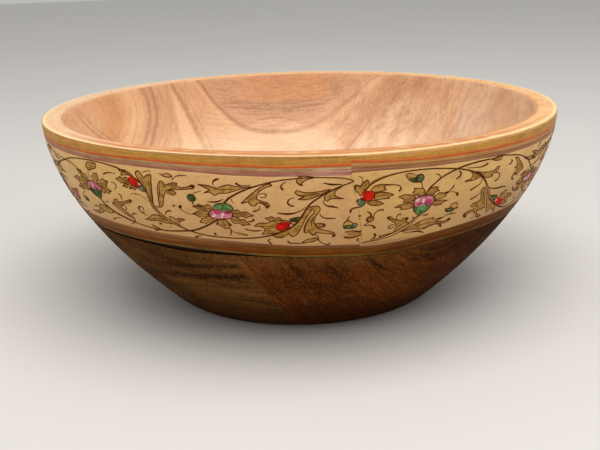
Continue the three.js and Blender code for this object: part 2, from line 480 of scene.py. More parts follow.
def inside_wood():
    """The oiled inside. On the left the figure's lines stand upright, at the back a ring comes to its
    rounded end, and on the right they lean over."""
    shader = Shader("oiled_inside_wood", 0.5, coat=0.08, coat_roughness=0.3, gloss=0.3)
    line, span, band, times, most = shader.line, shader.span, shader.band, shader.times, shader.most
    mix, noise, stretched, vector = shader.mix, shader.noise, shader.stretched, shader.vector
    x, y, z = shader.axes()
    wander = line((2.0, noise(stretched((0.03, 0.03, 0.03)), 1)), -1.0)
    x = shader.math("ADD", x, wander)
    z = shader.math("ADD", z, wander)

    # Fields that are constant along the figure's lines
    bow = line((1, z), -90.0)
    upright = line((1, x), (0.0105, times(bow, bow)))
    leaning = line((1, x), (-0.56, z), 53.0)
    steep = line((1, x), (-0.3, z))
    from_middle = line((1, x), 15.0)
    flat = line((1, z), (-0.0023, times(from_middle, from_middle)))
    wedge = line((1, z), (0.83, y))
    arc = line((1, x), 20.0)
    arc = line((1, z), (0.0098, times(arc, arc)), -79.2)
    pale_left = line((1, x), (0.214, z), 69.5)
    pale_right = line((1, x), (0.474, z), 40.4)
    stops = [(number / (len(RING_END) - 1), height / HIGHEST) for number, height in enumerate(RING_END)]
    place = span(x, RING_END_FROM, RING_END_TO, smooth=False)
    above = line((1, z), (-HIGHEST, shader.curve(place, stops, "B_SPLINE")))

    # Parts of the inside
    back = span(y, -10, 30)
    left = span(x, -58, -78)
    right = span(leaning, 22, 44)
    far_right = span(x, 78, 104)
    near_left = span(x, -117, -127)
    upper = span(z, 62, 80)
    within = span(above, -1, 2)
    in_ring = times(within, upper)
    streak_zone = times(band(flat, 86.5, 8), span(x, 34, 8), span(x, -66, -44))

    def drawn(field, across, along, low, high, detail=3.0):
        """Streaks from 0 to 1 that change quickly across a field and slowly along it."""
        place = vector(times(field, across), times(z, along), times(y, along))
        return span(noise(place, detail, 0.65), low, high)

    flat_place = vector(times(x, 0.07), times(flat, 0.8), times(y, 0.03))
    flat_fine = span(noise(flat_place, 4, 0.65), 0.44, 0.64)
    cloudy = span(noise(stretched((0.03, 0.03, 0.05)), 3, 0.6), 0.4, 0.62)
    broken = span(cloudy, 0.15, 0.6, 0.35, 1)
    slanting = mix(far_right, drawn(leaning, 0.6, 0.16, 0.42, 0.66), drawn(steep, 0.5, 0.12, 0.42, 0.66))
    blotches = mix(far_right, drawn(leaning, 0.075, 0.045, 0.4, 0.62, 4),
                   drawn(steep, 0.1, 0.03, 0.4, 0.62, 4))
    flecks = mix(far_right, drawn(leaning, 0.06, 0.05, 0.5, 0.62, 4), drawn(steep, 0.08, 0.035, 0.46, 0.6, 4))
    fine = mix(left, mix(right, flat_fine, times(slanting, 0.6)), drawn(upright, 0.8, 0.1, 0.42, 0.68, 4))
    broad = mix(left, mix(right, cloudy, blotches), drawn(upright, 0.1, 0.012, 0.38, 0.62, 2))
    pores = noise(stretched((0.85, 0.85, 0.6)), 2, 0.6)
    brown = (160, 112, 80)

    # Thin dark lines
    lines = most(
        band(upright, -100.6, 2.2, 0.5),
        band(upright, -105, 2.0, 0.4),
        band(upright, -112, 1.0, 0.2),
        band(pale_left, -1.5, 2.6, 0.14),
        times(band(pale_right, 1.2, 2.8, 0.42), span(z, 66, 80, 0.5, 1)),
        band(pale_right, 5.5, 1.0, 0.2),
        times(band(above, 1.5, 3.0), span(x, 25, -10, 0.3, 0.55), span(cloudy, 0, 1, 0.8, 1)),
        times(flat_fine, streak_zone, 0.55),
        times(band(flat, 89.5, 0.7), streak_zone, broken, 0.7),
        times(band(flat, 86, 0.6), streak_zone, broken, 0.6),
        times(band(flat, 82.5, 0.6), streak_zone, broken, 0.4),
        times(band(arc, 0, 0.9), band(x, -18, 24), 0.5),
        times(band(leaning, 70, 1.2), span(z, 80, 96), 0.35),
        times(band(line((1, x), (-0.89, z)), -16.3, 1.0), span(z, 80, 72), 0.4),
        times(band(line((1, x), (-0.65, z)), 51, 0.9), band(z, 98, 8), 0.28),
        times(band(wedge, 107.5, 2.0, 0.34), near_left),
        times(band(wedge, 111, 1.4, 0.2), near_left),
        times(band(wedge, 116, 2.6, 0.48), near_left),
        times(band(wedge, 121, 2.0, 0.3), near_left),
    )
    shader.bump(span(pores, 0.55, 0.75, 1, 0), 0.03)
    return shader.finish(shader.layered((247, 210, 172), [
        # Painted light and shade: the pale ground colour makes the lower inside look lit, and the upper wall
        # under the rim is darker as painted shade
        (upper, (231, 186, 146)),
        # Upright stripes on the left
        (times(left, span(upright, -103, -109), 0.6), (248, 202, 154)),
        (times(band(upright, -113, 6), 0.5), (252, 214, 168)),
        (times(band(upright, -125, 11), 0.7), (226, 160, 102)),
        (times(left, band(upright, -92, 8), 0.35), (220, 174, 134)),
        # The ring's end at the back
        (times(in_ring, 0.45), (204, 158, 126)),
        (times(in_ring, span(z, 88, 94), span(x, 24, 17), span(x, -52, -30), 0.4), (230, 160, 108)),
        (times(streak_zone, 0.4), (198, 160, 138)),
        (times(within, span(arc, 0.4, -1), 0.4), (250, 210, 170)),
        (times(within, span(x, 8, 26), span(above, 24, 6), 0.5), (242, 200, 156)),
        (times(band(x, 28, 8), band(z, 98, 8), 0.45), (150, 120, 84)),
        (times(band(x, 42, 7), band(z, 104, 4), 0.35), (176, 146, 140)),
        # Leaning blotches and stripes on the right
        (times(right, broad, 0.58), (206, 158, 124)),
        (times(right, flecks, 0.65), (248, 216, 182)),
        (times(far_right, 0.35), (240, 200, 158)),
        (times(band(leaning, 94, 11), span(z, 80, 68), 0.65), (254, 222, 184)),
        (times(band(steep, 90, 12), span(z, 106, 84), 0.6), (240, 214, 190)),
        (times(band(leaning, 81, 6), span(z, 84, 100), 0.5), (194, 142, 114)),
        (times(far_right, slanting, span(z, 66, 90), 0.34), (196, 150, 130)),
        (times(band(steep, 99.5, 3.5), span(z, 80, 94), 0.5), (194, 134, 118)),
        (times(band(leaning, 52, 12), span(z, 78, 70), span(z, 56, 62), 0.6), (218, 160, 118)),
        # Streaks all over, pale borders and paler ends
        (times(broad, 0.16), brown),
        (times(fine, span(z, 60, 78, 0.12, 0.3)), brown),
        (times(span(pale_left, -3, 2), span(pale_right, 0.5, -2), back, 0.5), (254, 220, 178)),
        (times(band(above, -4, 3.5), back, 0.3), (246, 204, 160)),
        (most(span(x, -118, -134, 0, 0.16), span(x, 100, 124, 0, 0.24)), (255, 232, 202)),
        (times(lines, back), (150, 98, 68)),
        (span(pores, 0.54, 0.7, 0, 0.22), brown),
        (span(pores, 0.46, 0.32, 0, 0.2), (255, 226, 190)),
    ]))


# How far the gold paint laps over the rim's outer edge, over x, both in millimetres
GOLD_LAP = [(-140, 0.4), (-128, 0.7), (-95, 1.7), (-78, 2.0), (-63, 3.0), (-43, 2.8), (-26, 2.6),
            (-9, 1.5), (9, 0.7), (27, 0), (83, 0), (112, 0), (140, 0)]
WIDEST_LAP = 4.0


def rim_wood():
    """The top of the rim: orange, with thin turned lines, a painted highlight just inside the gold and then
    the edge of the gold paint.
    """
    shader = Shader("rim_wood", 0.45, coat=0.1, coat_roughness=0.2, gloss=0.3)
    line, span, band, times, mix = shader.line, shader.span, shader.band, shader.times, shader.mix
    noise, stretched = shader.noise, shader.stretched
    x, y, _ = shader.axes()
    radius = shader.length(x, y)
    front = span(y, -30, -70)
    uneven = noise(stretched((0.12, 0.12, 0.12)), 3, 0.6)
    growth = shader.over_x(x, RIM_GROWTH, LEAST_GROWTH, MOST_GROWTH)
    outward = line((1, radius), (1, times(growth, front)), RIM_WIDTH - RIM_RADIUS)
    lap = line((1, times(shader.over_x(x, GOLD_LAP, 0, WIDEST_LAP), front)), (0.5, uneven), -0.25)
    to_gold = line((-1, radius), (-1, lap), RIM_RADIUS)
    streaks = span(Grain(shader).streaks(4.0, 0.05, 0.6, 0.6), 0.42, 0.68)
    turned = noise(shader.vector(times(x, 0.05), times(y, 0.05), times(radius, 1.5)), 3, 0.6)
    pores = noise(stretched((0.8, 0.8, 0.8)))
    lines = shader.most(
        band(outward, 0.9, 1.4, 0.8),
        times(band(to_gold, 5.0, 1.6), span(y, -60, -105), 0.85),
        band(outward, 2.9, 0.6, 0.2),
    )
    strength = times(span(turned, 0.3, 0.5, 0.45, 1), span(y, 60, -60, 0.35, 1))
    # The gold on the rim's top is darker than the stripe's: painted shade that offsets the stronger light on
    # the top
    gold = mix(span(pores, 0.4, 0.6), (164, 115, 45), (143, 97, 36))
    return shader.finish(shader.layered((242, 180, 118), [
        # Paler on the left, yellower on the right, and browner in front, where the brown is painted shade of
        # the rim's rounded front
        (span(x, -40, -130), (244, 200, 156)),
        (times(span(x, 60, 120), 0.6), (248, 194, 116)),
        (times(span(y, -90, -122), 0.95), (218, 140, 63)),
        # Grain and turning marks
        (times(streaks, span(x, 60, 120, 0.4, 0.7)), (220, 144, 80)),
        (span(turned, 0.45, 0.65, 0, 0.3), (252, 208, 148)),
        (span(uneven, 0.5, 0.6, 0, 0.4), (252, 216, 168)),
        (times(lines, strength), (198, 108, 52)),
        # The painted highlight just inside the gold, and the gold paint's edge
        (band(to_gold, 1.2, 1.8, 0.9), (255, 228, 166)),
        (span(pores, 0.52, 0.68, 0, 0.16), (200, 130, 80)),
        (span(to_gold, 0.35, -0.35), gold),
    ]))


# Where the two pieces of wood that the block is glued from meet on the outside, as x = AT + LEAN * z
JOINT_AT = -1.2
JOINT_LEAN = -0.567


def outside_wood():
    """The varnished outside, dark partly with painted shade: level bands on the left of the glued joint,
    slanting and arched grain on its right."""
    shader = Shader("varnished_outside_wood", 0.55, gloss=0.006)
    line, span, band, times, most = shader.line, shader.span, shader.band, shader.times, shader.most
    mix, noise, stretched, vector = shader.mix, shader.noise, shader.stretched, shader.vector
    x, y, z = shader.axes()
    wander = line((6, noise(stretched((0.04, 0.04, 0.05)))), -3.0)
    speckle = noise(stretched((0.95, 0.95, 1.1)), 2, 0.6)
    grit = span(speckle, 0.3, 0.6, 0.65, 1)
    patches = noise(stretched((0.03, 0.03, 0.045)), 4, 0.62)
    grain = Grain(shader)
    broad = span(grain.streaks(3.0, 0.008, 0.16), 0.42, 0.66)
    fine = span(grain.streaks(6.0, 0.03, 0.8, 0.6), 0.42, 0.7)

    side = line((1, x), (-JOINT_LEAN, z), -JOINT_AT, (0.35, wander))
    front = span(y, -30, -70)
    right = times(span(side, -0.8, 0.8), front)
    calm = line((-0.75, right), 1.0)
    near_strip = times(span(z, 42, 56), span(x, 90, 40), 0.6)

    # Left of the joint
    level = line((1, z), (-0.157, x), -9.7, (0.5, wander))
    bands = most(band(level, 38.5, 4.2), band(level, 46.5, 3.0, 0.8), band(level, 30, 2.4, 0.4))
    bands = times(bands, span(side, 0, -3), front, span(x, -92, -62))

    # Right of it
    slant = line((0.82, x), (0.57, z), (0.6, wander))
    down = line((0.57, x), (-0.82, z))
    slanting = noise(vector(times(slant, 0.5), times(down, 0.07), times(y, 0.02)), 3, 0.6)
    marks = most(
        times(band(slant, 25, 3.0, 0.7), band(z, 51, 10)),
        times(band(slant, 57.5, 2.8, 0.9), band(z, 48, 9)),
        times(band(slant, 40, 9, 0.45), band(z, 46, 14)),
        times(band(slant, 80, 8, 0.5), band(z, 50, 9)),
    )
    vein = times(band(line((0.66, x), (0.751, z), (0.15, wander)), 60.6, 1.0), band(z, 48, 9))
    arch = line((1, x), -68.0)
    arch = line((1, z), (-0.022, times(arch, arch)), (0.25, wander))
    arched = noise(vector(times(arch, 0.6), times(x, 0.025), times(y, 0.02)), 3, 0.6)
    arches = most(band(arch, 38.5, 0.8, 0.7), band(arch, 44.5, 0.7, 0.5), band(arch, 48.5, 0.7, 0.6))
    in_arch = times(span(arch, 34, 40), span(slant, 60, 70), span(x, 104, 90), right)

    # These colours are far darker than the inside's wood: partly painted shade of the outside, which faces
    # down, away from the light
    olive, russet, reddish = (116, 76, 35), (102, 50, 13), (130, 72, 28)
    dark, darkest = (38, 19, 8), (32, 12, 5)
    wood = mix(times(right, line((-1, near_strip), 1.0)), olive, russet)
    shader.bump(span(speckle, 0.5, 0.66, 1, 0), 0.03)
    return shader.finish(shader.layered(wood, [
        (span(patches, 0.4, 0.62, 0, 0.54), dark),
        (times(broad, calm, 0.4), dark),
        (times(fine, calm, 0.35), dark),
        (times(bands, grit), dark),
        (times(marks, right, grit), darkest),
        (most(times(vein, right, 0.8), times(arches, in_arch, grit)), darkest),
        (times(span(arched, 0.5, 0.62), in_arch, 0.28), dark),
        (times(span(arched, 0.47, 0.37), in_arch, 0.35), reddish),
        (times(span(slanting, 0.52, 0.66), right, 0.35), reddish),
        (times(span(slanting, 0.48, 0.34), right, 0.4), dark),
        (span(speckle, 0.5, 0.64, 0, 0.55), dark),
        (span(speckle, 0.45, 0.32, 0, 0.32), (150, 102, 56)),
        # Along the joint
        (times(band(side, 1.2, 2.4), span(slanting, 0.4, 0.6), front, 0.2), (150, 92, 48)),
        # Darker round both sides, and painted shade that darkens it towards the foot
        (most(span(x, 30, 105, 0, 0.62), span(x, -40, -105, 0, 0.35)), dark),
        (span(z, 28, 6, 0, 0.6), (50, 20, 7)),
    ]))


def paint(name, colour, shade, streaks=1.0, metallic=0.0, speckles=0.0, gloss=0.05,
          sheen_by_seam=None, right=None, left=None):
    """Varnished paint, laid on the turning bowl, so it is streaked round it. Left and right are the pairs of
    colour and shade on those sides of the bowl. With sheen_by_seam, a pale colour painted just left of the
    seam as a painted reflection of the varnish's sheen, the pair for the right starts at the seam. Left and
    right fade away round the back."""
    shader = Shader(name, 0.42, coat=0.3 * gloss, coat_roughness=0.16, metallic=metallic, gloss=gloss)
    span, times, mix, noise, stretched = shader.span, shader.times, shader.mix, shader.noise, shader.stretched
    x, y, _ = shader.axes()
    turn = shader.turn(x, y)
    fading_right = span(turn, 2.8, 1.6)
    if left:
        on_right = times(span(turn, 0.1, 0.4), fading_right)
        on_left = times(span(turn, -0.1, -0.4), span(turn, -2.8, -1.9))
        colour, shade = (
            mix(on_right, mix(on_left, middle, beside), beyond)
            for middle, beside, beyond in zip((colour, shade), left, right)
        )
    if sheen_by_seam:
        seam = math.radians(UPPER_SEAM)
        past_seam = span(turn, seam - 0.001, seam + 0.001)
        # A pale colour just left of the seam: a painted reflection of the varnish's sheen
        pale = times(span(turn, seam - 0.28, seam - 0.06), shader.line((-1, past_seam), 1.0), 0.7)
        on_right = times(past_seam, fading_right)
        right_colour, right_shade = right or (colour, shade)
        colour = mix(on_right, mix(pale, colour, sheen_by_seam), right_colour)
        shade = mix(on_right, shade, right_shade)
    drawn_out = noise(stretched((0.05, 0.05, 1.9)), 3, 0.62)
    mottled = noise(stretched((0.1, 0.1, 0.2)), 4, 0.62)
    share = shader.math("ADD", span(drawn_out, 0.36, 0.68, 0, 0.7 * streaks),
                        span(mottled, 0.4, 0.66, 0, 0.4))
    grit = noise(stretched((1.1, 1.1, 1.3)), 1)
    shader.bump(noise(stretched((0.5, 0.5, 0.9))), 0.02)
    return shader.finish(shader.layered(colour, [
        (share, shade),
        (span(grit, 0.5, 0.66, 0, speckles), shade),
    ]))


def ground(name):
    """The strip's cream ground: yellower right of the seam and far round to the left, with painted shade
    towards its foot.
    """
    shader = Shader(name, 0.42, coat=0.05, coat_roughness=0.16, gloss=0.12)
    span, times, noise, stretched = shader.span, shader.times, shader.noise, shader.stretched
    x, y, z = shader.axes()
    turn = shader.turn(x, y)
    past_seam = shader.line((1, turn), (0.00148, z), -0.3005)
    mottled = noise(stretched((0.06, 0.06, 0.09)), 4, 0.62)
    small = noise(stretched((0.4, 0.4, 0.5)), 3, 0.6)
    pinkish, yellow, brownish = (228, 180, 120), (226, 182, 110), (184, 138, 86)
    return shader.finish(shader.layered(pinkish, [
        (span(past_seam, -0.005, 0.005), yellow),
        (span(turn, -0.3, -0.75), yellow),
        (times(shader.band(past_seam, -0.035, 0.03), 0.5), (214, 160, 102)),
        # Painted shade towards the foot, most of all on the right, and a browner very edge
        (span(z, 96, 68, 0, 0.55), brownish),
        (times(span(turn, 0.55, 0.85), span(z, 92, 74), 0.45), (136, 98, 62)),
        (times(span(z, 65.2, 63.8), span(y, 0, -60), 0.7), (158, 114, 68)),
        (span(mottled, 0.42, 0.66, 0, 0.45), (202, 154, 98)),
        (span(small, 0.48, 0.68, 0, 0.35), brownish),
    ]))


def wash(name, colour, shade):
    """Thin paint laid on by brush, darker where it gathered."""
    shader = Shader(name, 0.5, gloss=0.03)
    pooled = shader.noise(shader.stretched((0.3, 0.3, 0.36)), 3, 0.6)
    return shader.finish(shader.mix(shader.span(pooled, 0.38, 0.62), colour, shade))


# The coats' paints. Where a coat has more than one, they follow each other from its foot up
LOWER_GLOSS = 0.01
# Each upper line's pale colour just left of the seam is a painted reflection of the varnish's sheen
LINE_PAINTS = {
    "gold_rim_stripe": [
        paint("gold_stripe_paint", (210, 155, 74), (171, 118, 50), metallic=0.1, speckles=0.6),
    ],
    "upper_red_line": [
        paint("red_line_paint", (204, 98, 44), (176, 76, 32), sheen_by_seam=(230, 78, 46)),
        paint("orange_line_paint", (216, 122, 60), (196, 96, 42), sheen_by_seam=(232, 96, 60)),
    ],
    "upper_grey_line": [
        paint("pink_tan_paint", (188, 142, 104), (160, 108, 78),
              sheen_by_seam=(214, 160, 134), right=((164, 116, 68), (138, 92, 52))),
        paint("grey_line_paint", (188, 164, 118), (152, 128, 86), streaks=1.4,
              sheen_by_seam=(204, 190, 150), right=((200, 150, 92), (170, 122, 72))),
        paint("tan_line_paint", (202, 142, 88), (170, 108, 62), sheen_by_seam=(220, 158, 118)),
    ],
    "upper_mauve_line": [
        paint("mauve_line_paint", (180, 121, 99), (149, 91, 76), streaks=1.4,
              sheen_by_seam=(206, 150, 134), right=((168, 116, 88), (142, 94, 70))),
        paint("light_mauve_paint", (188, 138, 106), (160, 102, 80), streaks=1.4,
              sheen_by_seam=(220, 174, 156), right=((176, 122, 86), (150, 100, 70))),
    ],
    "cream_band": [ground("cream_ground_paint")],
    "lower_mauve_line": [
        paint("lower_mauve_paint", (132, 86, 58), (104, 66, 40), gloss=LOWER_GLOSS,
              left=((160, 112, 76), (132, 90, 58)), right=((124, 80, 46), (100, 62, 32))),
    ],
    "lower_brown_line": [
        paint("brown_line_paint", (124, 78, 24), (92, 55, 14), gloss=LOWER_GLOSS,
              left=((140, 92, 50), (114, 72, 36)), right=((114, 68, 24), (86, 48, 14))),
    ],
    "lower_red_line": [
        paint("lower_red_paint", (126, 56, 17), (98, 42, 10), gloss=LOWER_GLOSS,
              left=((126, 60, 20), (98, 46, 13)), right=((106, 44, 8), (82, 34, 5))),
        paint("russet_line_paint", (128, 72, 24), (96, 52, 14), gloss=LOWER_GLOSS,
              left=((128, 76, 36), (100, 58, 24)), right=((104, 54, 16), (78, 40, 8))),
    ],
    "lower_green_line": [
        paint("green_line_paint", (124, 98, 44), (82, 62, 24), gloss=LOWER_GLOSS,
              left=((124, 98, 52), (84, 64, 32)), right=((110, 78, 32), (78, 54, 20))),
    ],
}


# The turned wooden body

# Its materials and their numbers on the faces
BODY_WOODS = [
    outside_wood(),
    rim_wood(),
    inside_wood(),
    # The groove's near-black is painted shadow under the strip's edge, laid over the real open groove
    wash("groove_shadow", (40, 20, 8), (24, 11, 4)),
]
OUTSIDE_WOOD, RIM_WOOD, INSIDE_WOOD, GROOVE_SHADOW = range(len(BODY_WOODS))

# The seat is cut a little deeper than the paint reaches, so that the two don't share a face
SEAT_CUT = SEAT_DEPTH + 0.05
# The groove's rounded lower lip, as depths into the wood and heights above the groove's foot
GROOVE_LIP = ((0.35, 0.06), (SEAT_CUT, 0.15))
# The power with which the rim's uneven growth fades away down the inside
GROWTH_FADE = 4


def rim_growth(degrees):
    """How much wider than its mean the rim is, which it is only in front."""
    x = (RIM_RADIUS - RIM_WIDTH / 2) * np.sin(np.radians(degrees))
    return np.where(np.abs(degrees) < 90, eased(RIM_GROWTH, x), 0)


def wall_rings(groove_foot):
    """The flat underside, the foot's rounded edge and the bare wall below the groove."""
    flat_radius = FOOT_RADIUS - FOOT_EDGE
    rings = [(radius, 0.0) for radius in (*UNDERSIDE_RINGS, flat_radius)]
    for turn in FOOT_EDGE_TURNS:
        radius = (1 - turn) ** 2 * flat_radius + 2 * turn * (1 - turn) * FOOT_RADIUS
        rings.append((radius + turn**2 * outside_radius(FOOT_EDGE), turn**2 * FOOT_EDGE))
    for row in range(OUTSIDE_ROWS + 1):
        height = FOOT_EDGE + (groove_foot - FOOT_EDGE) * row / OUTSIDE_ROWS
        rings.append((outside_radius(height), height))
    return rings


def groove_rings(groove_foot, strip_foot):
    """The groove that stays open under the strip."""
    rings = [(outside_radius(groove_foot) - depth, groove_foot + rise) for depth, rise in GROOVE_LIP]
    rings.append((outside_radius(strip_foot) - SEAT_CUT, strip_foot))
    return rings


def seat_rings(strip_foot, strip_top):
    """The seat behind the strip."""
    heights = [strip_foot + (strip_top - strip_foot) * row / SEAT_ROWS for row in range(1, SEAT_ROWS + 1)]
    return [(outside_radius(height) - SEAT_CUT, height) for height in heights]


def rim_rings(strip_top, growth):
    """The lip above the strip, and the rim's outer edge, flat top and inner edge."""
    lip = BOWL_HEIGHT - RIM_EDGE
    rings = [(outside_radius(strip_top), strip_top), (outside_radius(lip), lip)]
    for turn in OUTER_EDGE_TURNS:
        around = turn * math.pi / 2
        rings.append((RIM_RADIUS - RIM_EDGE * (1 - math.cos(around)), lip + RIM_EDGE * math.sin(around)))
    inner = RIM_RADIUS - RIM_WIDTH - growth
    for radius in np.linspace(RIM_RADIUS - RIM_EDGE, inner + RIM_EDGE, RIM_ROWS + 1)[1:]:
        rings.append((radius, BOWL_HEIGHT))
    _, inside_top = inside_point(0)
    for turn in INNER_EDGE_TURNS:
        around = turn * math.pi / 2
        rings.append((inner + RIM_EDGE * (1 - math.sin(around)), inside_top + RIM_EDGE * math.cos(around)))
    return rings


def inside_rings(growth):
    """The inside, down to just above its bottom's centre."""
    rings = []
    for row in range(INSIDE_ROWS):
        radius, height = inside_point(row / INSIDE_ROWS)
        rings.append((radius - growth * max(0, height / BOWL_HEIGHT) ** GROWTH_FADE, height))
    return rings


def make_body():
    """One closed mesh, ring by ring from the underside's centre up the outside and down the inside. The faces
    that lead up to a ring have the wood that stands beside it."""
    degrees = turn_angles(BODY_TURN_STEPS, LOWER_SEAM)
    count = len(degrees)
    edges = line_edges(degrees)
    strip_top, strip_foot = edges[0], edges[-1]
    groove_foot = strip_foot - eased(GROOVE, degrees)
    growth = rim_growth(degrees)
    parts = (
        (OUTSIDE_WOOD, wall_rings(groove_foot)),
        (GROOVE_SHADOW, groove_rings(groove_foot, strip_foot)),
        (OUTSIDE_WOOD, seat_rings(strip_foot, strip_top)),
        (RIM_WOOD, rim_rings(strip_top, growth)),
        (INSIDE_WOOD, inside_rings(growth)),
    )
    rings = [(wood, radius, height) for wood, part in parts for radius, height in part]
    points = [np.array([[0, 0, 0]])]
    points += [turned_points(radius, height, degrees) for _, radius, height in rings]
    points.append(np.array([[0, 0, FLOOR_THICKNESS * METRES]]))
    faces = [(0, 1 + (i + 1) % count, 1 + i) for i in range(count)]
    looks = [OUTSIDE_WOOD] * count
    for number, (wood, _, _) in enumerate(rings[1:]):
        faces += ring_faces(1 + number * count, 1 + (number + 1) * count, count)
        looks += [wood] * count
    last = 1 + (len(rings) - 1) * count
    centre = last + count
    faces += [(last + i, last + (i + 1) % count, centre) for i in range(count)]
    looks += [INSIDE_WOOD] * count
    body = make_mesh("wooden_bowl", np.concatenate(points), faces, BODY_WOODS, looks)
    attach(body, "root")
    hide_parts("bowl_body")


# The coats of paint

# How far a coat's edges are rounded off, up or down and into the paint, and the height of a step between them
EDGE_ROUNDING = 0.22
EDGE_DROP = 0.07
COAT_STEP = 1.6


def make_line(name, top, foot, degrees):
    """One coat: a thin closed ring from its top edge to its foot, slightly rounded at both."""
    count = len(degrees)
    paints = LINE_PAINTS[name]
    steps = max(2 * len(paints), int(np.ceil(np.mean(top - foot) / COAT_STEP)))
    heights = [foot + EDGE_ROUNDING + (top - foot - 2 * EDGE_ROUNDING) * i / steps for i in range(steps + 1)]
    rings = [(outside_radius(foot) + STRIP_PROUD - EDGE_DROP, foot)]
    rings += [(outside_radius(z) + STRIP_PROUD, z) for z in heights]
    rings += [(outside_radius(top) + STRIP_PROUD - EDGE_DROP, top)]
    seen_rows = len(rings) - 1
    rings += [(outside_radius(z) - SEAT_DEPTH, z) for z in reversed([foot, *heights[1:-1], top])]
    points = np.concatenate([turned_points(radius, height, degrees) for radius, height in rings])
    faces, looks = [], []
    for row in range(len(rings)):
        faces += ring_faces(row * count, (row + 1) % len(rings) * count, count)
        looks += [row * len(paints) // seen_rows if row < seen_rows else 0] * count
    line = make_mesh(name + "_paint", points, faces, paints, looks)
    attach(line, "root")
    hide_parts(name)


def make_lines():
    """All nine coats. The seam is at one angle in the upper lines and at another from the cream band down."""
    first_low = LINE_NAMES.index("cream_band")
    for seam, chosen in ((UPPER_SEAM, range(first_low)), (LOWER_SEAM, range(first_low, len(LINE_NAMES)))):
        degrees = turn_angles(BAND_TURN_STEPS, seam)
        edges = line_edges(degrees)
        for number in chosen:
            make_line(LINE_NAMES[number], edges[number], edges[number + 1], degrees)


make_body()
make_lines()


# The vine: how its shapes are drawn

# How far each layer of paint stands above the ground, and how far every shape reaches into it
UNDER_LIFT = 0.03
WASH_LIFT = 0.035
BUD_LIFT = 0.045
PETAL_LIFT = 0.05
CALYX_LIFT = 0.055
OVER_LIFT = 0.06
HEART_LIFT = 0.065
SPOT_LIFT = 0.07
GLINT_LIFT = 0.075
TOP_LIFT = 0.08
OUTLINE_LIFT = 0.085
STEM_MIDDLE_LIFT = 0.1
BURIED = -0.06
# A path has a corner where it turns by more than this many degrees
TURN_OF_A_CORNER = 70.0
# Distance between the points of a path, and between those inside a filled shape
PEN_STEP = 0.45
FILL_SPACING = 2.2
# Lengths below this count as nothing, and points closer than the second figure as one
NOTHING = 1e-6
SAME_POINT = 1e-5


def pen_path(points, closed=False):
    """A curve through the points, rounded, but with a corner wherever it turns sharply."""
    points = np.array(points, float)
    count = len(points)
    following = np.roll(points, -1, axis=0) - points
    length = np.maximum(np.hypot(*following.T), NOTHING)
    leaving = following / length[:, None]
    arriving = np.roll(leaving, 1, axis=0)
    before = np.roll(length, 1)
    middle = leaving * before[:, None] + arriving * length[:, None]
    middle /= np.maximum(np.hypot(*middle.T), NOTHING)[:, None]
    turn = np.degrees(np.arccos(np.clip(np.sum(leaving * arriving, axis=1), -1, 1)))
    corner = turn > TURN_OF_A_CORNER
    if not closed:
        corner[0] = corner[-1] = True
    path = []
    for here in range(count if closed else count - 1):
        there = (here + 1) % count
        first_way = leaving[here] if corner[here] else middle[here]
        last_way = leaving[here] if corner[there] else middle[there]
        steps = max(2, int(np.ceil(length[here] / PEN_STEP)))
        start, leave, end, arrive = cubic_weights((np.arange(steps) / steps)[:, None])
        path.append(start * points[here] + leave * length[here] * first_way
                    + end * points[there] + arrive * length[here] * last_way)
    if not closed:
        path.append(points[-1:])
    return np.concatenate(path)


class Paint:
    """Everything painted on the strip in one colour, gathered into one piece."""

    def __init__(self, name, material, slot):
        self.name, self.material, self.slot = name, material, slot
        self.points, self.faces = [], []

    def add(self, flat, faces, lift):
        """Adds flat shapes: rows of (u, v), with a lift for each, and faces between them."""
        first = sum(len(p) for p in self.points)
        self.points.append(on_strip(flat[:, 0], flat[:, 1], lift))
        self.faces += [tuple(first + corner for corner in face) for face in faces]

    def make(self):
        piece = make_mesh(self.name, np.concatenate(self.points), self.faces, [self.material])
        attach(piece, "root")
        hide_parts("cream_band")


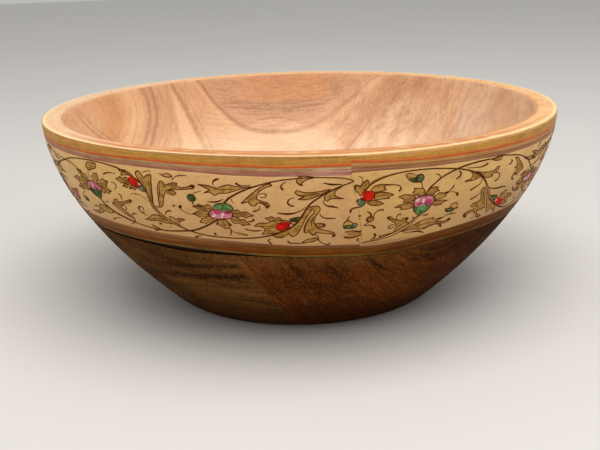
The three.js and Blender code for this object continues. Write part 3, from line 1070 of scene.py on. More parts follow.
class Brush:
    """Draws in the strip's own place, or moved round the bowl and stretched for a repeat."""

    def __init__(self):
        self.start, self.shift, self.stretch = 0.0, 0.0, 1.0

    def move(self, start, shift, stretch=1.0):
        """Later shapes are moved along the strip by shift, and stretched away from start."""
        self.start, self.shift, self.stretch = start, shift, stretch

    def placed(self, path):
        moved = path.copy()
        moved[:, 0] = self.start + self.shift + (path[:, 0] - self.start) * self.stretch
        return moved

    def stroke(self, paint, points, widths=(0.3, 0.6, 0.3), closed=False, lift=OUTLINE_LIFT):
        """A line along the points, whose width swells and thins evenly through the given widths."""
        path = self.placed(pen_path(points, closed))
        if closed:
            path = np.concatenate([path, path[:1]])
        count = len(path)
        share = np.linspace(0, len(widths) - 1, count)
        half = np.interp(share, np.arange(len(widths)), widths)[:, None] / 2
        along = np.gradient(path, axis=0)
        along /= np.maximum(np.hypot(*along.T), NOTHING)[:, None]
        aside = np.stack([-along[:, 1], along[:, 0]], -1) * half
        flat = np.stack([path + aside, path + aside, path - aside, path - aside], 1).reshape(-1, 2)
        lifts = np.tile([BURIED, lift, lift, BURIED], count)
        faces = [(3, 2, 1, 0), tuple(4 * (count - 1) + corner for corner in (0, 1, 2, 3))]
        for station in range(count - 1):
            here, there = 4 * station, 4 * (station + 1)
            for side in range(4):
                after = (side + 1) % 4
                faces.append((here + side, here + after, there + after, there + side))
        paint.add(flat, faces, lifts)

    def fill(self, paint, points, lift=WASH_LIFT):
        """A closed patch of paint inside the outline through the points."""
        outline = self.placed(pen_path(points, closed=True))
        low, high = outline.min(0), outline.max(0)
        inner = [
            (u, v)
            for u in np.arange(low[0] + FILL_SPACING / 2, high[0], FILL_SPACING)
            for v in np.arange(low[1] + FILL_SPACING / 2, high[1], FILL_SPACING)
        ]
        everything = [Vector(p) for p in (*outline, *inner)]
        border = [(i, (i + 1) % len(outline)) for i in range(len(outline))]
        flat, _, faces, _, _, _ = delaunay_2d_cdt(everything, border, [], 1, SAME_POINT)
        flat = np.array([tuple(p) for p in flat])
        used = sorted({corner for face in faces for corner in face})
        number = {old: new for new, old in enumerate(used)}
        top = [tuple(number[corner] for corner in face) for face in faces]
        count = len(used)
        edges = {(face[i], face[(i + 1) % len(face)]) for face in top for i in range(len(face))}
        walls = [(b, a, a + count, b + count) for a, b in sorted(edges) if (b, a) not in edges]
        under = [tuple(corner + count for corner in reversed(face)) for face in top]
        flat = np.concatenate([flat[used], flat[used]])
        paint.add(flat, top + walls + under, np.repeat([lift, BURIED], count))


def oval(centre, across, tall, tilt=0.0, points=10):
    """Points round an oval with its half width, its half height and its tilt in degrees."""
    lean = math.radians(tilt)
    path = []
    for number in range(points):
        angle = 2 * math.pi * number / points
        u, v = across * math.cos(angle), tall * math.sin(angle)
        path.append((centre[0] + u * math.cos(lean) - v * math.sin(lean),
                     centre[1] + u * math.sin(lean) + v * math.cos(lean)))
    return path


INK = Paint("vine_outlines", wash("brown_ink", (100, 54, 12), (70, 32, 5)), "brown_paint")
OLIVE = Paint("leaf_washes", wash("olive_wash", (190, 145, 76), (153, 109, 50)), "gold_paint")
OCHRE = Paint("ochre_washes", wash("ochre_wash", (196, 152, 90), (168, 122, 64)), "gold_paint")
RUSSET = Paint("russet_washes", wash("russet_wash", (180, 132, 73), (150, 104, 51)), "brown_paint")
RED = Paint("berry_paint", wash("berry_red", (218, 42, 20), (176, 18, 8)), "red_paint")
PINK = Paint("petal_paint", wash("petal_pink", (212, 134, 142), (180, 98, 114)), "mauve_paint")
MAGENTA = Paint("petal_hearts", wash("petal_magenta", (190, 72, 110), (162, 50, 84)), "mauve_paint")
GREEN = Paint("calyx_paint", wash("calyx_green", (112, 156, 90), (68, 108, 54)), "grey_green_paint")
DARK_GREEN = Paint("dark_bud_paint", wash("bud_green", (74, 98, 40), (46, 62, 24)), "grey_green_paint")
TEAL = Paint("teal_paint", wash("calyx_teal", (118, 134, 96), (84, 102, 68)), "grey_green_paint")
PALE = Paint("stem_middles", wash("stem_light", (216, 172, 112), (198, 150, 92)), "cream_paint")
WHITE = Paint("white_touches", wash("touch_white", (244, 210, 206), (230, 186, 184)), "cream_paint")
PAINTS = (INK, OLIVE, OCHRE, RUSSET, RED, PINK, MAGENTA, GREEN, DARK_GREEN, TEAL, PALE, WHITE)
BRUSH = Brush()

# Widths in millimetres that a stroke swells and thins through
THIN = (0.2, 0.38, 0.2)
PEN = (0.35, 0.54, 0.35)
BOLD = (0.45, 0.85, 0.45)
TO_A_POINT = (0.9, 0.5, 0.2)
HOOK = (0.25, 0.45, 0.9, 1.0)


def ink(points, widths=PEN):
    """A brown line."""
    BRUSH.stroke(INK, points, widths)


def shape(points, colour=OLIVE, widths=(0.4, 0.52, 0.4)):
    """A washed shape with an inked outline."""
    BRUSH.fill(colour, points)
    BRUSH.stroke(INK, points, widths, closed=True)


# A toothed leaf. Lengths are shares of its length, and reaches are shares of its half width
LEAF_FOOT, FOOT_REACH = 0.04, 0.35
NOTCH_LENGTH, NOTCH_REACH = 0.42, 0.66
TOOTH_REACH = 0.94
BACK_LENGTH, BACK_REACH = 0.04, 0.7
MIDRIB_FROM, MIDRIB_TO = 0.1, 0.72


def ray_leaf(base, tip, width, colour=OLIVE, teeth=2):
    """A pointed leaf with saw teeth, from the flower that it grows from to its tip, with an inked midrib."""
    base, tip = np.array(base, float), np.array(tip, float)
    along = tip - base
    length = np.hypot(*along)
    aside = np.array([-along[1], along[0]]) / length * width / 2
    sides = []
    for side in (1, -1):
        edge = [base + along * LEAF_FOOT + FOOT_REACH * side * aside]
        for tooth in range(teeth):
            # The tooth's place from foot to tip, and how full the leaf is there: it thins towards both ends
            out = (tooth + 0.75) / (teeth + 0.55)
            full = math.sin(math.pi * min(0.93, 0.3 + 0.62 * out)) ** 0.7
            corners = ((-NOTCH_LENGTH / teeth, NOTCH_REACH), (0, TOOTH_REACH), (BACK_LENGTH, BACK_REACH))
            edge += [base + along * (out + step) + reach * full * side * aside for step, reach in corners]
        sides.append(edge)
    shape(sides[0] + [tip] + sides[1][::-1], colour, (0.3, 0.42, 0.55, 0.42, 0.3))
    ink([base + along * MIDRIB_FROM, base + along * MIDRIB_TO], (0.3, 0.2))


def spot(colour, centre, across, tall, tilt=0.0, lift=WASH_LIFT):
    """An oval patch of paint without an outline."""
    BRUSH.fill(colour, oval(centre, across, tall, tilt), lift)


def berry(centre, across, tall, tilt, touch):
    """A red berry, inked round one side, with a pale touch of light on it."""
    edge = oval(centre, across, tall, tilt)
    BRUSH.fill(RED, edge, PETAL_LIFT)
    ink(edge[5:] + edge[:2], (0.2, 0.5, 0.3))
    BRUSH.fill(WHITE, oval(touch, 0.85, 0.55, 40, 8), GLINT_LIFT)
    BRUSH.stroke(WHITE, [touch, (touch[0] - 0.9, touch[1] + 1.1)], (0.5, 0.2), lift=GLINT_LIFT)


def dark_bud(centre, across, tall, tilt=0.0):
    """A dark green bud, inked round most of its edge, with a short light stroke on it."""
    edge = oval(centre, across, tall, tilt)
    u, v = centre
    BRUSH.fill(DARK_GREEN, edge, BUD_LIFT)
    ink(edge[:8], THIN)
    light = [(u - 0.5 * across, v), (u + 0.2 * across, v + 0.25 * tall)]
    BRUSH.stroke(TEAL, light, (0.3, 0.7, 0.3), lift=SPOT_LIFT)


# The vine's motifs, from left to right as they stand on the strip

def first_flower():
    """The flower at the far left with its calyx below it, the side of the next one round the bowl, and the
    small acanthus beside its stem."""
    BRUSH.fill(PINK, [(-120, 25), (-119, 27.2), (-116.5, 28.4), (-113.5, 28.7), (-110.5, 27.8),
                      (-108.3, 26.2), (-109.2, 24.6), (-112, 23.8), (-116, 23.8)], PETAL_LIFT)
    ink([(-120, 25), (-119, 27.3), (-116.5, 28.5), (-113.5, 28.8), (-110.5, 27.9), (-108.2, 26.2)])
    spot(MAGENTA, (-111.8, 25.2), 1.8, 0.9, -20, lift=HEART_LIFT)
    spot(MAGENTA, (-117, 25), 1.5, 0.8, 10, lift=HEART_LIFT)
    BRUSH.stroke(WHITE, [(-115.2, 24.4), (-114.4, 27.4)], (0.5, 0.8, 0.4), lift=GLINT_LIFT)
    shape([(-120, 22.8), (-117.5, 24.2), (-114, 24), (-111, 24.2), (-108.4, 24), (-109.8, 20.8),
           (-112.6, 18.8), (-116.2, 20)], DARK_GREEN)
    spot(DARK_GREEN, (-113.5, 21.4), 2.0, 1.1, -15, lift=CALYX_LIFT)
    ray_leaf((-112, 28.6), (-106.6, 34.2), 5.6)
    ray_leaf((-109.2, 27.6), (-99.4, 30.9), 5.4)
    ray_leaf((-108.6, 25), (-99.4, 25.4), 4.6, RUSSET)
    ray_leaf((-119.6, 24.6), (-131.5, 22.2), 4.6, RUSSET)
    ray_leaf((-119.4, 27.4), (-132.5, 27.6), 4.4)
    ray_leaf((-116.5, 28.6), (-125.5, 33.4), 5.2)
    shape([(-114.8, 36.4), (-113.6, 38.6), (-110, 39.7), (-105.4, 39.7), (-106.4, 37.2), (-110, 36),
           (-113, 35)])
    ink([(-113.6, 35), (-114.6, 32.6), (-115, 29.8)], THIN)
    spot(INK, (-130.4, 15), 3.1, 1.9, -8, lift=UNDER_LIFT)
    spot(OLIVE, (-131.3, 15.9), 2.0, 1.1, -8, lift=OVER_LIFT)
    ink([(-131.5, 17), (-129, 19), (-126.4, 20)], THIN)
    shape([(-130.5, 7.4), (-124, 8.2), (-120.3, 9.8), (-118.8, 12), (-116.8, 14), (-112.4, 14.4),
           (-108.6, 13.6), (-105.6, 11.6), (-109.5, 9.8), (-114, 10.4), (-117.4, 9), (-121.5, 7.2),
           (-126, 6.6)])
    ink([(-124.6, 11.4), (-121.6, 12), (-120, 12.2)], BOLD)
    ink([(-110.6, 5.4), (-107.4, 7.1), (-102, 8)], TO_A_POINT)
    ink([(-101.4, 34.6), (-97.6, 36), (-92, 36.3)], TO_A_POINT)
    ink([(-109, 16.8), (-107, 18), (-105, 18.1)], THIN)
    ink([(-139.5, 6.6), (-142.5, 8.6), (-147, 8.6)], BOLD)
    ink([(-140, 4), (-143, 3)], BOLD)
    spot(RUSSET, (-145, 14.6), 5.6, 3.4, 4, lift=BUD_LIFT)
    spot(PINK, (-145.2, 14.4), 4.8, 2.6, 8, lift=OVER_LIFT)
    spot(MAGENTA, (-143.6, 13.4), 2.2, 1.2, 8, lift=SPOT_LIFT)
    ink(oval((-145.2, 14.4), 4.8, 2.6, 8)[:7], BOLD)
    shape([(-149.6, 14.6), (-146, 12.6), (-142.2, 12.2), (-144.6, 10.4), (-147.8, 10.8)], DARK_GREEN)
    ray_leaf((-143, 15.8), (-137.4, 19), 3.6)
    shape([(-90.4, 9.4), (-95, 11.4), (-99.6, 14.4), (-103.4, 17.4), (-101.4, 18.6), (-99.8, 20.6),
           (-97.4, 21), (-97.2, 19.4), (-93, 20.3), (-89, 21.8), (-87.2, 22.4), (-87, 21.2), (-90.6, 19.8),
           (-94.8, 18.2), (-96.6, 16.4), (-96, 14.6), (-93.6, 13), (-91.4, 11.4)], RUSSET)
    ink([(-88.6, 21.9), (-87.2, 21.9)], (0.8, 1.5, 1.2))
    ink([(-97, 17.2), (-95.2, 18), (-93.2, 17.2), (-93.4, 15.6), (-95.2, 15), (-96.6, 15.9)])
    ink([(-91, 9), (-93, 6.9), (-96.2, 5.2)], TO_A_POINT)
    ink([(-91, 12.3), (-89.6, 13.6), (-87.4, 13.9)], BOLD)
    ink([(-95, 24.8), (-93.3, 23.8), (-93.8, 21.4)], BOLD)
    ink([(-97.2, 31), (-94.6, 30.3), (-94.2, 29), (-96.2, 27.3)])


def rising_acanthus():
    """The acanthus that opens upwards in a V, with the berry and the small sprigs beside it."""
    ray_leaf((-83.6, 33.2), (-92.8, 33.4), 4.4)
    ray_leaf((-83.4, 31.8), (-89.4, 29.9), 3.2)
    ray_leaf((-80.6, 30.8), (-85.6, 29), 2.2, RUSSET, 1)
    shape([(-80.6, 36.3), (-84, 36.6), (-88.6, 35.9), (-87.4, 37.2), (-89.4, 38.6), (-86.6, 39), (-83, 38.2)])
    shape([(-80.4, 30.6), (-78.6, 29.2), (-75.2, 28.3), (-74.7, 30.2), (-76.6, 31.6), (-79, 31.6)], TEAL)
    berry((-80.8, 33.3), 3.9, 2.7, -14, (-77.9, 32.4))
    shape([(-73.3, 21.4), (-74.4, 26), (-75.1, 30), (-76.7, 33), (-78.4, 36), (-79, 37.8), (-78.3, 39.1),
           (-76.9, 39.5), (-75.7, 38.3), (-74.6, 35.9), (-73.4, 37.2), (-72, 38), (-69.9, 38.4), (-70.6, 35),
           (-71.4, 31), (-72.3, 26)])
    ink([(-70.1, 38.2), (-71, 33.4), (-72.2, 28), (-73.4, 23)], BOLD)
    ink([(-72, 36.6), (-72.6, 31), (-73.6, 26)], THIN)
    shape([(-70, 20.4), (-69.4, 24), (-68.7, 28), (-67.6, 32), (-66.6, 34.4), (-65.2, 35.6), (-63.9, 34.9),
           (-63.6, 33.4), (-61.6, 34.3), (-59.2, 35.2), (-56.7, 35.2), (-57.6, 33.8), (-55.4, 33.1),
           (-52, 33.5), (-49.4, 34.8), (-48.2, 34.4), (-48.8, 33.2), (-51.4, 32.6), (-56, 31.9),
           (-60.6, 31.6), (-62.8, 30.9), (-64.4, 29.3), (-65.6, 27), (-66.8, 24), (-68.3, 21.2)])
    ink([(-50.6, 34.2), (-48.5, 34.3)], (0.7, 1.6, 1.3))
    ink([(-61.8, 33.8), (-59, 34.2)], THIN)
    ink([(-72.2, 21), (-71, 20.4), (-70, 21)])
    ink([(-69.9, 22.4), (-67.9, 28), (-66.3, 33)], THIN)
    spot(OLIVE, (-60.9, 29.7), 2.2, 1.0, 6)
    ink([(-63.4, 29), (-61.8, 30.8), (-59.4, 30.9), (-58.3, 29.7), (-60, 28.6), (-62.6, 28.9)])
    BRUSH.fill(OCHRE, [(-65, 39), (-62.5, 38.1), (-59.8, 38.2), (-59.4, 39.2), (-62, 39.9)])
    ink([(-65.2, 39.5), (-63.6, 38.4), (-60, 38.1), (-58.6, 38.6), (-59.6, 39.4), (-62, 39.9)])
    ink([(-59, 38.2), (-58.6, 37.2), (-59.1, 36)], THIN)
    ink([(-58.4, 37.3), (-56.4, 38.8), (-51.4, 39.5)], (0.3, 0.5, 0.3))
    ink([(-74.6, 38.8), (-73, 39.8), (-69.6, 40.1)], THIN)
    dark_bud((-50.9, 27.8), 2.2, 2.1)
    ink([(-50.2, 29.9), (-48, 31.1), (-45.4, 31.9)], THIN)
    ink([(-50.9, 25.6), (-50.6, 24)], (0.9, 0.5))
    BRUSH.stroke(RUSSET, [(-86, 25.9), (-82, 26.6), (-79.4, 26), (-77, 24.4), (-75.6, 22.8)],
                 (0.4, 1.0, 0.5, 0.3), lift=OVER_LIFT)
    ink([(-62.4, 22), (-60.6, 22.9)], BOLD)
    ink([(-57.4, 23.2), (-58.6, 21.4)], (0.9, 1.9))
    ink([(-58.6, 21), (-55.6, 18.9), (-52.4, 18.2)], THIN)
    ink([(-68.1, 16.2), (-67.2, 18), (-65.4, 19), (-64, 19.1)], (0.3, 0.7, 1.1))
    ink(oval((-82.4, 17.3), 1.6, 1.9), (0.5, 0.85, 0.6))
    ink([(-82.8, 15.4), (-81.4, 14.4), (-79.9, 14)], THIN)
    shape([(-82.7, 11.2), (-79.4, 12.8), (-76.4, 14.9), (-73, 15.3), (-70, 14.4), (-67, 12.2), (-65, 10.8),
           (-70, 10.9), (-74.6, 11.6), (-79, 11)])
    ink([(-80.4, 12), (-74, 12.9), (-67.6, 12.4)], THIN)
    shape([(-66.2, 15.4), (-65.8, 12.6), (-63.4, 10.6), (-61.6, 9.9), (-61.8, 12), (-60.2, 13.4),
           (-57.6, 14.5), (-60.6, 15), (-62.8, 14.2), (-64.8, 15.5)])
    shape([(-80, 8.2), (-77.4, 7.2), (-74.8, 5.9), (-77.2, 4.9), (-79.4, 4.1), (-78.9, 5.9)], RUSSET)
    ink([(-74.2, 10), (-72.6, 9.7)], (0.9, 1.3, 0.6))
    ink([(-55.3, 3.1), (-53.6, 4.3), (-51.2, 4.6)], (1.0, 0.7, 0.3))
    ink([(-68.8, 8.3), (-67.6, 8.6)], THIN)


def hanging_flower(calyx_size=1.0):
    """A flower whose green calyx is on top, with its ring of leaves and the sprays round it."""
    middle = (-38, 21.6)

    def sized(points):
        return [tuple(m + (c - m) * calyx_size for c, m in zip(point, middle)) for point in points]

    ray_leaf((-41.4, 22.4), (-51.4, 23.1), 4.2, RUSSET)
    ray_leaf((-43.4, 19.2), (-52.4, 18.6), 4.2)
    ray_leaf((-42.4, 16.9), (-49.8, 13.8), 4.6)
    ray_leaf((-32.3, 20.6), (-22.2, 19.3), 4.4, RUSSET)
    ray_leaf((-33.6, 17.2), (-24.4, 13.9), 4.8, RUSSET)
    shape([(-40, 15.8), (-40.6, 13.6), (-38.9, 12.2), (-37.1, 10.8), (-35.4, 11.4), (-34.8, 13.2), (-36, 16)])
    ink([(-37.8, 15.4), (-37.2, 12)], THIN)
    ink([(-51.2, 23.2), (-48, 23.5), (-46, 23.6)], (0.4, 0.9, 0.5))
    petals = [(-41.2, 22), (-43.5, 20.7), (-44.1, 18.8), (-43, 17.2), (-40.6, 16.5), (-37.6, 16.8),
              (-35, 16.9), (-33.2, 17.6), (-32.2, 19.2), (-32.6, 21), (-36.5, 21.6)]
    BRUSH.fill(PINK, petals, PETAL_LIFT)
    ink(petals[:10], (0.4, 0.6, 0.4))
    spot(MAGENTA, (-39.6, 20.8), 1.9, 1.5, -30, lift=HEART_LIFT)
    spot(MAGENTA, (-34.3, 20.8), 1.7, 1.2, 20, lift=HEART_LIFT)
    BRUSH.stroke(WHITE, [(-38, 17.1), (-37.2, 19), (-36.3, 20.6)], (0.4, 0.9, 0.5), lift=TOP_LIFT)
    spot(WHITE, (-41.6, 18.3), 1.3, 0.7, 30, lift=SPOT_LIFT)
    shape(sized([(-41.4, 22.4), (-40.1, 24.6), (-37.6, 25.7), (-34.6, 25.8), (-32.2, 24.6), (-31.4, 22.8),
                 (-33, 21.3), (-35, 20.8), (-36.6, 20.7), (-37.6, 21.4), (-38.6, 22.4), (-40, 22.1)]), GREEN)
    BRUSH.stroke(DARK_GREEN, sized([(-35.6, 25.2), (-36.6, 23.2), (-36.7, 21.4)]), (0.4, 0.9, 0.3),
                 lift=OVER_LIFT)
    BRUSH.stroke(TEAL, sized([(-39.6, 23.6), (-38, 23.2)]), (0.5, 0.9, 0.4), lift=OVER_LIFT)
    ink([(-41.2, 12.9), (-40.2, 15)], (1.1, 0.5))
    ink([(-36, 16), (-34.9, 14.4), (-33.7, 12.8)], (0.4, 0.7, 0.9))
    ink([(-35, 12), (-34.6, 9.4), (-35.4, 6.6)], (0.3, 0.8, 0.4))
    BRUSH.fill(RUSSET, [(-33.6, 9.2), (-31, 8.6), (-28.6, 8), (-26.4, 6.8), (-29, 7), (-31.6, 7.9)])
    ink([(-34.2, 9.6), (-32.4, 8.2), (-29.4, 7.2), (-26.4, 6.9), (-28.4, 8), (-30.8, 8.6)], THIN)
    ink([(-43.6, 7.6), (-43.3, 5.8)], (0.8, 1.4, 0.5))
    ink([(-22.3, 17.3), (-23.2, 16.1), (-25.6, 15.8)], (1.1, 0.7, 0.3))
    ink([(-27.4, 11.1), (-24.4, 10.1), (-19.2, 10.3)], (0.8, 0.6, 0.9, 0.3))
    shape([(-22, 35.2), (-26.4, 34.9), (-29.4, 35.2), (-32.6, 35.8), (-35.4, 34.8), (-37.4, 34), (-41, 34.9),
           (-46.4, 35.4), (-43.2, 33.9), (-41, 32.8), (-44.2, 31), (-41, 31.5), (-39.4, 30.1), (-37.2, 31.1),
           (-33, 31.5), (-30, 32.6), (-26, 34.1)])
    ink([(-39, 33.2), (-34, 33.4), (-29, 34)], THIN)
    ink([(-35.8, 38.8), (-37.8, 38.1), (-39.2, 36.6), (-38.9, 35.2)], (0.3, 1.1, 0.6, 0.3))
    ink([(-28.8, 36.8), (-27.2, 35.8), (-22, 36)], (1.2, 0.4, 0.2))
    ink([(-43.2, 26.3), (-38.6, 26.6), (-35.4, 28.2)], (0.4, 0.9, 0.3))
    ink([(-31.6, 28.6), (-31.3, 27), (-30.6, 26.3)], THIN)


def falling_acanthus():
    """The acanthus that opens downwards, with a berry, and the sprays on both sides of its stem."""
    shape([(-13.4, 36.8), (-15.6, 36.1), (-18.6, 34.3), (-22, 31.5), (-25, 28.6), (-27.1, 26.3), (-25, 26.8),
           (-23.6, 27.6), (-23.5, 26), (-22.4, 25), (-20.9, 25.1), (-19.9, 26.4), (-17, 25.8), (-15.8, 23.7),
           (-14.3, 24.8), (-15, 26.4), (-17.6, 27.6), (-19.8, 28.9), (-19.4, 31.2), (-17.5, 33.4),
           (-15, 34.9), (-12.6, 35.7)])
    ink([(-27.2, 26.4), (-25.6, 26.8)], (1.3, 0.6))
    ink([(-15.2, 25), (-15.6, 23.8)], (0.8, 1.4))
    ink([(-18.8, 27.2), (-16.4, 26), (-15, 25)], THIN)
    ink([(-18.7, 31), (-17, 31.7), (-15.4, 31), (-16, 29.8), (-18.2, 29.6)])
    ink([(-19, 25), (-19, 23.4), (-20.6, 22.3), (-22.2, 21.8)], (0.3, 0.5, 1.0))
    shape([(6.8, 39.4), (2.6, 38.4), (0.6, 37.1), (-0.2, 35.9), (-1.5, 36.8), (-2, 38.2), (-1.4, 39.2)],
          OCHRE)
    ink([(0.7, 35.8), (-0.6, 36), (-1.6, 37.2)], (1.0, 0.8, 0.4))
    ink([(-0.6, 40.6), (-1.2, 39.4)], THIN)
    ink([(-6.2, 37.6), (-8.4, 36.1), (-8.7, 34.6), (-7.8, 33.5)], HOOK)
    ink([(-3, 29.3), (-5.4, 28.5), (-6.2, 26.6), (-4.9, 25.1), (-3.3, 24.7)], (0.3, 0.6, 0.9, 0.6))
    shape([(13, 33.2), (7, 32.1), (2.6, 31.8), (-0.8, 32.6), (-2, 33), (-2.8, 32.1), (-1.8, 30.8),
           (1.4, 29.9), (-1.6, 28.4), (2.6, 28.2), (6, 29.4), (9.8, 31)])
    ink([(-1.8, 30.7), (3, 30.6), (8, 31.2)], THIN)
    ink([(-11.1, 21), (-7, 20.4), (-3.4, 20.8), (-0.6, 22), (1.6, 24)], (0.6, 1.2, 0.6, 0.3))
    ray_leaf((-9, 16.2), (-17.2, 18), 3.6, RUSSET)
    shape([(-4.8, 15.9), (-9, 16.8), (-13, 16.6), (-16.4, 15), (-19.8, 15), (-22.8, 13), (-19.2, 12.6),
           (-17.4, 11.4), (-18.2, 9.6), (-19.6, 7.9), (-15.6, 8.4), (-12, 8.9), (-8.6, 10.4)])
    ink([(-20.6, 13.2), (-16, 13), (-13, 12.6)], THIN)
    shape([(-5.9, 17.2), (-3, 18.3), (0.2, 18.5), (-1.2, 17), (-2.6, 15.9), (-4.2, 15.8)], DARK_GREEN)
    shape([(2.6, 23.2), (0.9, 20.4), (-1.3, 16.6), (-4, 13.2), (-8, 10.7), (-11.6, 9), (-14.8, 7.6),
           (-12.4, 5.8), (-10.3, 5.9), (-8, 7.1), (-6.3, 8.7), (-5.9, 7.2), (-4.6, 6.4), (-3, 7.4),
           (-1.5, 9.8), (-0.3, 12.4), (1, 15.8), (2.8, 19.4), (4.6, 22.4)])
    ink([(-12.4, 5.8), (-10.3, 5.9), (-8, 7.1)], BOLD)
    berry((-8.5, 13), 4.3, 2.6, 14, (-4.9, 13.5))
    shape([(3.2, 24.2), (8, 23.9), (8.4, 22.6), (7, 19.8), (5.8, 17.2), (5.6, 15), (6.4, 13), (7.9, 11.2),
           (10, 10), (13, 9.1), (15.4, 7.7), (16, 6.2), (15.2, 5.1), (14.6, 6.9), (11.8, 7.8), (8.8, 8.2),
           (6.6, 8.6), (6.3, 7.6), (5.2, 6.8), (3.7, 8.5), (3.2, 10), (2.4, 8.6), (1, 8.9), (1.2, 12),
           (2.4, 15.6), (4, 18.8), (5.6, 21.4), (4.9, 22.9)])
    ink([(14.9, 7), (15.5, 5.2)], (0.8, 1.6))
    ink([(1, 9), (1.2, 12.2), (2.4, 15.8), (4, 19)], (1.0, 0.7, 0.4))
    ink([(3.6, 9), (5.3, 6.9), (6.6, 7.6)], BOLD)
    ink([(4.6, 12), (4.4, 15), (5.4, 18.6)], THIN)
    shape([(6.2, 14.2), (8.4, 14.3), (10.6, 13.6), (10.9, 12.6), (9.4, 11.8), (7.3, 12.1)], RUSSET)
    ink([(9.8, 13.7), (10.6, 12.6)], (0.9, 1.5))
    ink([(8.2, 19.9), (9.2, 18.2), (11, 17.3), (15.7, 17)], (0.3, 0.5, 0.8, 0.3))
    shape([(-0.2, 2.3), (1.5, 3.7), (4, 4.7), (6.8, 5), (7.8, 4.2), (6, 3), (3.4, 2.3)])
    ink([(6.4, 7.6), (7.6, 5.9), (7.9, 4), (9, 2), (11, 0.7), (13, 0.2), (13.8, 1.1)], (0.3, 0.6, 0.4, 0.9))
    ink([(-7.3, 3.4), (-6.6, 2.3), (-4, 1.8), (2, 1.9)], (1.1, 0.6, 0.3))
    ink([(-15.8, 5), (-16.9, 3.5), (-16.3, 2.4), (-15.5, 1.5)], (0.4, 0.7, 1.1))
    shape([(17.5, 34), (13.4, 32.3), (10.6, 30.2), (10.3, 28), (11.6, 27), (13.4, 28.2), (15.8, 28),
           (19, 27.8), (16.4, 28.7), (14.9, 29.9), (14.9, 31.6)])
    ink([(9.9, 27.6), (10, 25.6), (11.6, 24.3), (14.2, 23.7), (16.6, 22.8)], (0.3, 0.5, 1.1, 0.3))
    ink([(9.6, 36.5), (12.4, 35.7), (18, 35.3)], (0.4, 1.0, 0.3))


def seam_sprigs():
    """The small bud, leaf and ticks just left of the strip's seam."""
    spot(OCHRE, (21.9, 13), 2.2, 1.8)
    dark_bud((22.8, 11), 3.4, 1.3, -4)
    spot(TEAL, (25.2, 11.7), 1.3, 1.3, lift=OVER_LIFT)
    ink([(19.7, 11.8), (20, 14), (21.6, 14.9), (23.4, 14.1), (24.4, 12.3)])
    ink(oval((25.2, 11.7), 1.4, 1.4))
    ink([(21.3, 15), (21.5, 16.3), (22.3, 17.7)], (0.8, 0.3))
    BRUSH.fill(RUSSET, [(20.5, 7.6), (24.4, 8.4), (28.6, 7.3), (28.9, 5.3), (25, 4.2), (20.6, 4.6), (23, 6)])
    ink([(20.6, 8), (24.4, 8.4), (26.8, 7.8), (28.8, 7.3)], (0.3, 0.6, 1.3))
    ink([(20.4, 4.5), (23.4, 3.9), (26, 4.2), (29, 5.3)], (1.1, 1.0, 0.6))
    ink([(26.4, 17.5), (27.6, 17.3)], (0.8, 1.4, 0.6))
    ink([(26.5, 15.5), (27.2, 15.3)], THIN)
    ink([(22.6, 19.6), (22.3, 20.8), (23.4, 21.9), (27, 22.5)], (0.9, 0.9, 0.4))
    ink([(27.7, 1.2), (27.6, 2.4), (28.5, 3)], (1.2, 0.8, 0.5))
    ink([(28.2, 1), (29.4, 0.3)], THIN)


def leaning_berry():
    """The berry just right of the seam with its leaves, bud and hooks."""
    shape([(26.4, 28.6), (25.3, 30.4), (23.9, 31.9), (23.5, 34.2), (25.1, 34.4), (26, 33.4), (27.1, 35.4),
           (29.2, 36.8), (30, 34.6), (28.9, 31.5), (27.4, 29)])
    ink([(23.6, 32.6), (23.7, 34.2), (24.8, 34.5)], (0.6, 1.1, 0.6))
    ink([(27.2, 30), (28, 32.4), (28.6, 34.8)], THIN)
    ink([(26.8, 35.8), (26.9, 37.2), (26.1, 38.3), (25, 38.9)], THIN)
    shape([(31, 31.4), (32.1, 33), (34.6, 33.8), (38.2, 33.6), (37.2, 32.3), (38.2, 30.9), (35.6, 30.2),
           (33, 30)])
    ink([(38.2, 33.4), (42, 33), (44.5, 32.2), (45.6, 30.6), (44.4, 29.4)], (0.9, 0.4, 0.5, 1.0))
    shape([(33, 29.4), (36, 29.8), (39, 29.2), (42.2, 27.8), (39.8, 27.1), (40.2, 26), (36, 26),
           (33.2, 25.8)])
    ink([(34, 27.8), (39, 27.9)], THIN)
    shape([(29.6, 24.8), (31.6, 25.4), (34.2, 25.4), (36.2, 24.4), (37.9, 23.2), (34.6, 22.6), (31.4, 23.3)],
          RUSSET)
    shape([(25.1, 26.4), (26.8, 27.1), (28.7, 25.9), (28.7, 24), (27.3, 22.7), (25.8, 24)], TEAL)
    ink([(25.3, 27), (25, 25.2)], (0.9, 1.3, 0.5))
    berry((29.8, 28.4), 3.4, 2.8, -8, (26.7, 28.3))
    BRUSH.fill(RUSSET, [(29.6, 34.6), (32, 36.4), (36, 38), (40.4, 38.2), (36, 37), (32.6, 35.4)])
    shape(oval((32.4, 14.8), 1.7, 1.6), RUSSET, BOLD)
    ink([(30.4, 19.7), (31.8, 18.6), (32.5, 17.2), (32.4, 15.8)], (0.4, 0.9, 0.8))
    ink([(38.4, 19.7), (36, 19.8), (34.6, 18.6), (33.6, 16.4)], (0.9, 0.5, 0.4))
    ink([(31.9, 13.2), (30.6, 12), (29.4, 11.2)], THIN)
    ink([(29.8, 11.2), (33, 11), (34.7, 10.1), (35.6, 8.7)], (0.3, 0.6, 1.2))
    ink([(35.7, 5.1), (36.7, 3.6), (36.2, 2.4), (34.4, 1.5)], (1.3, 0.9, 0.4))


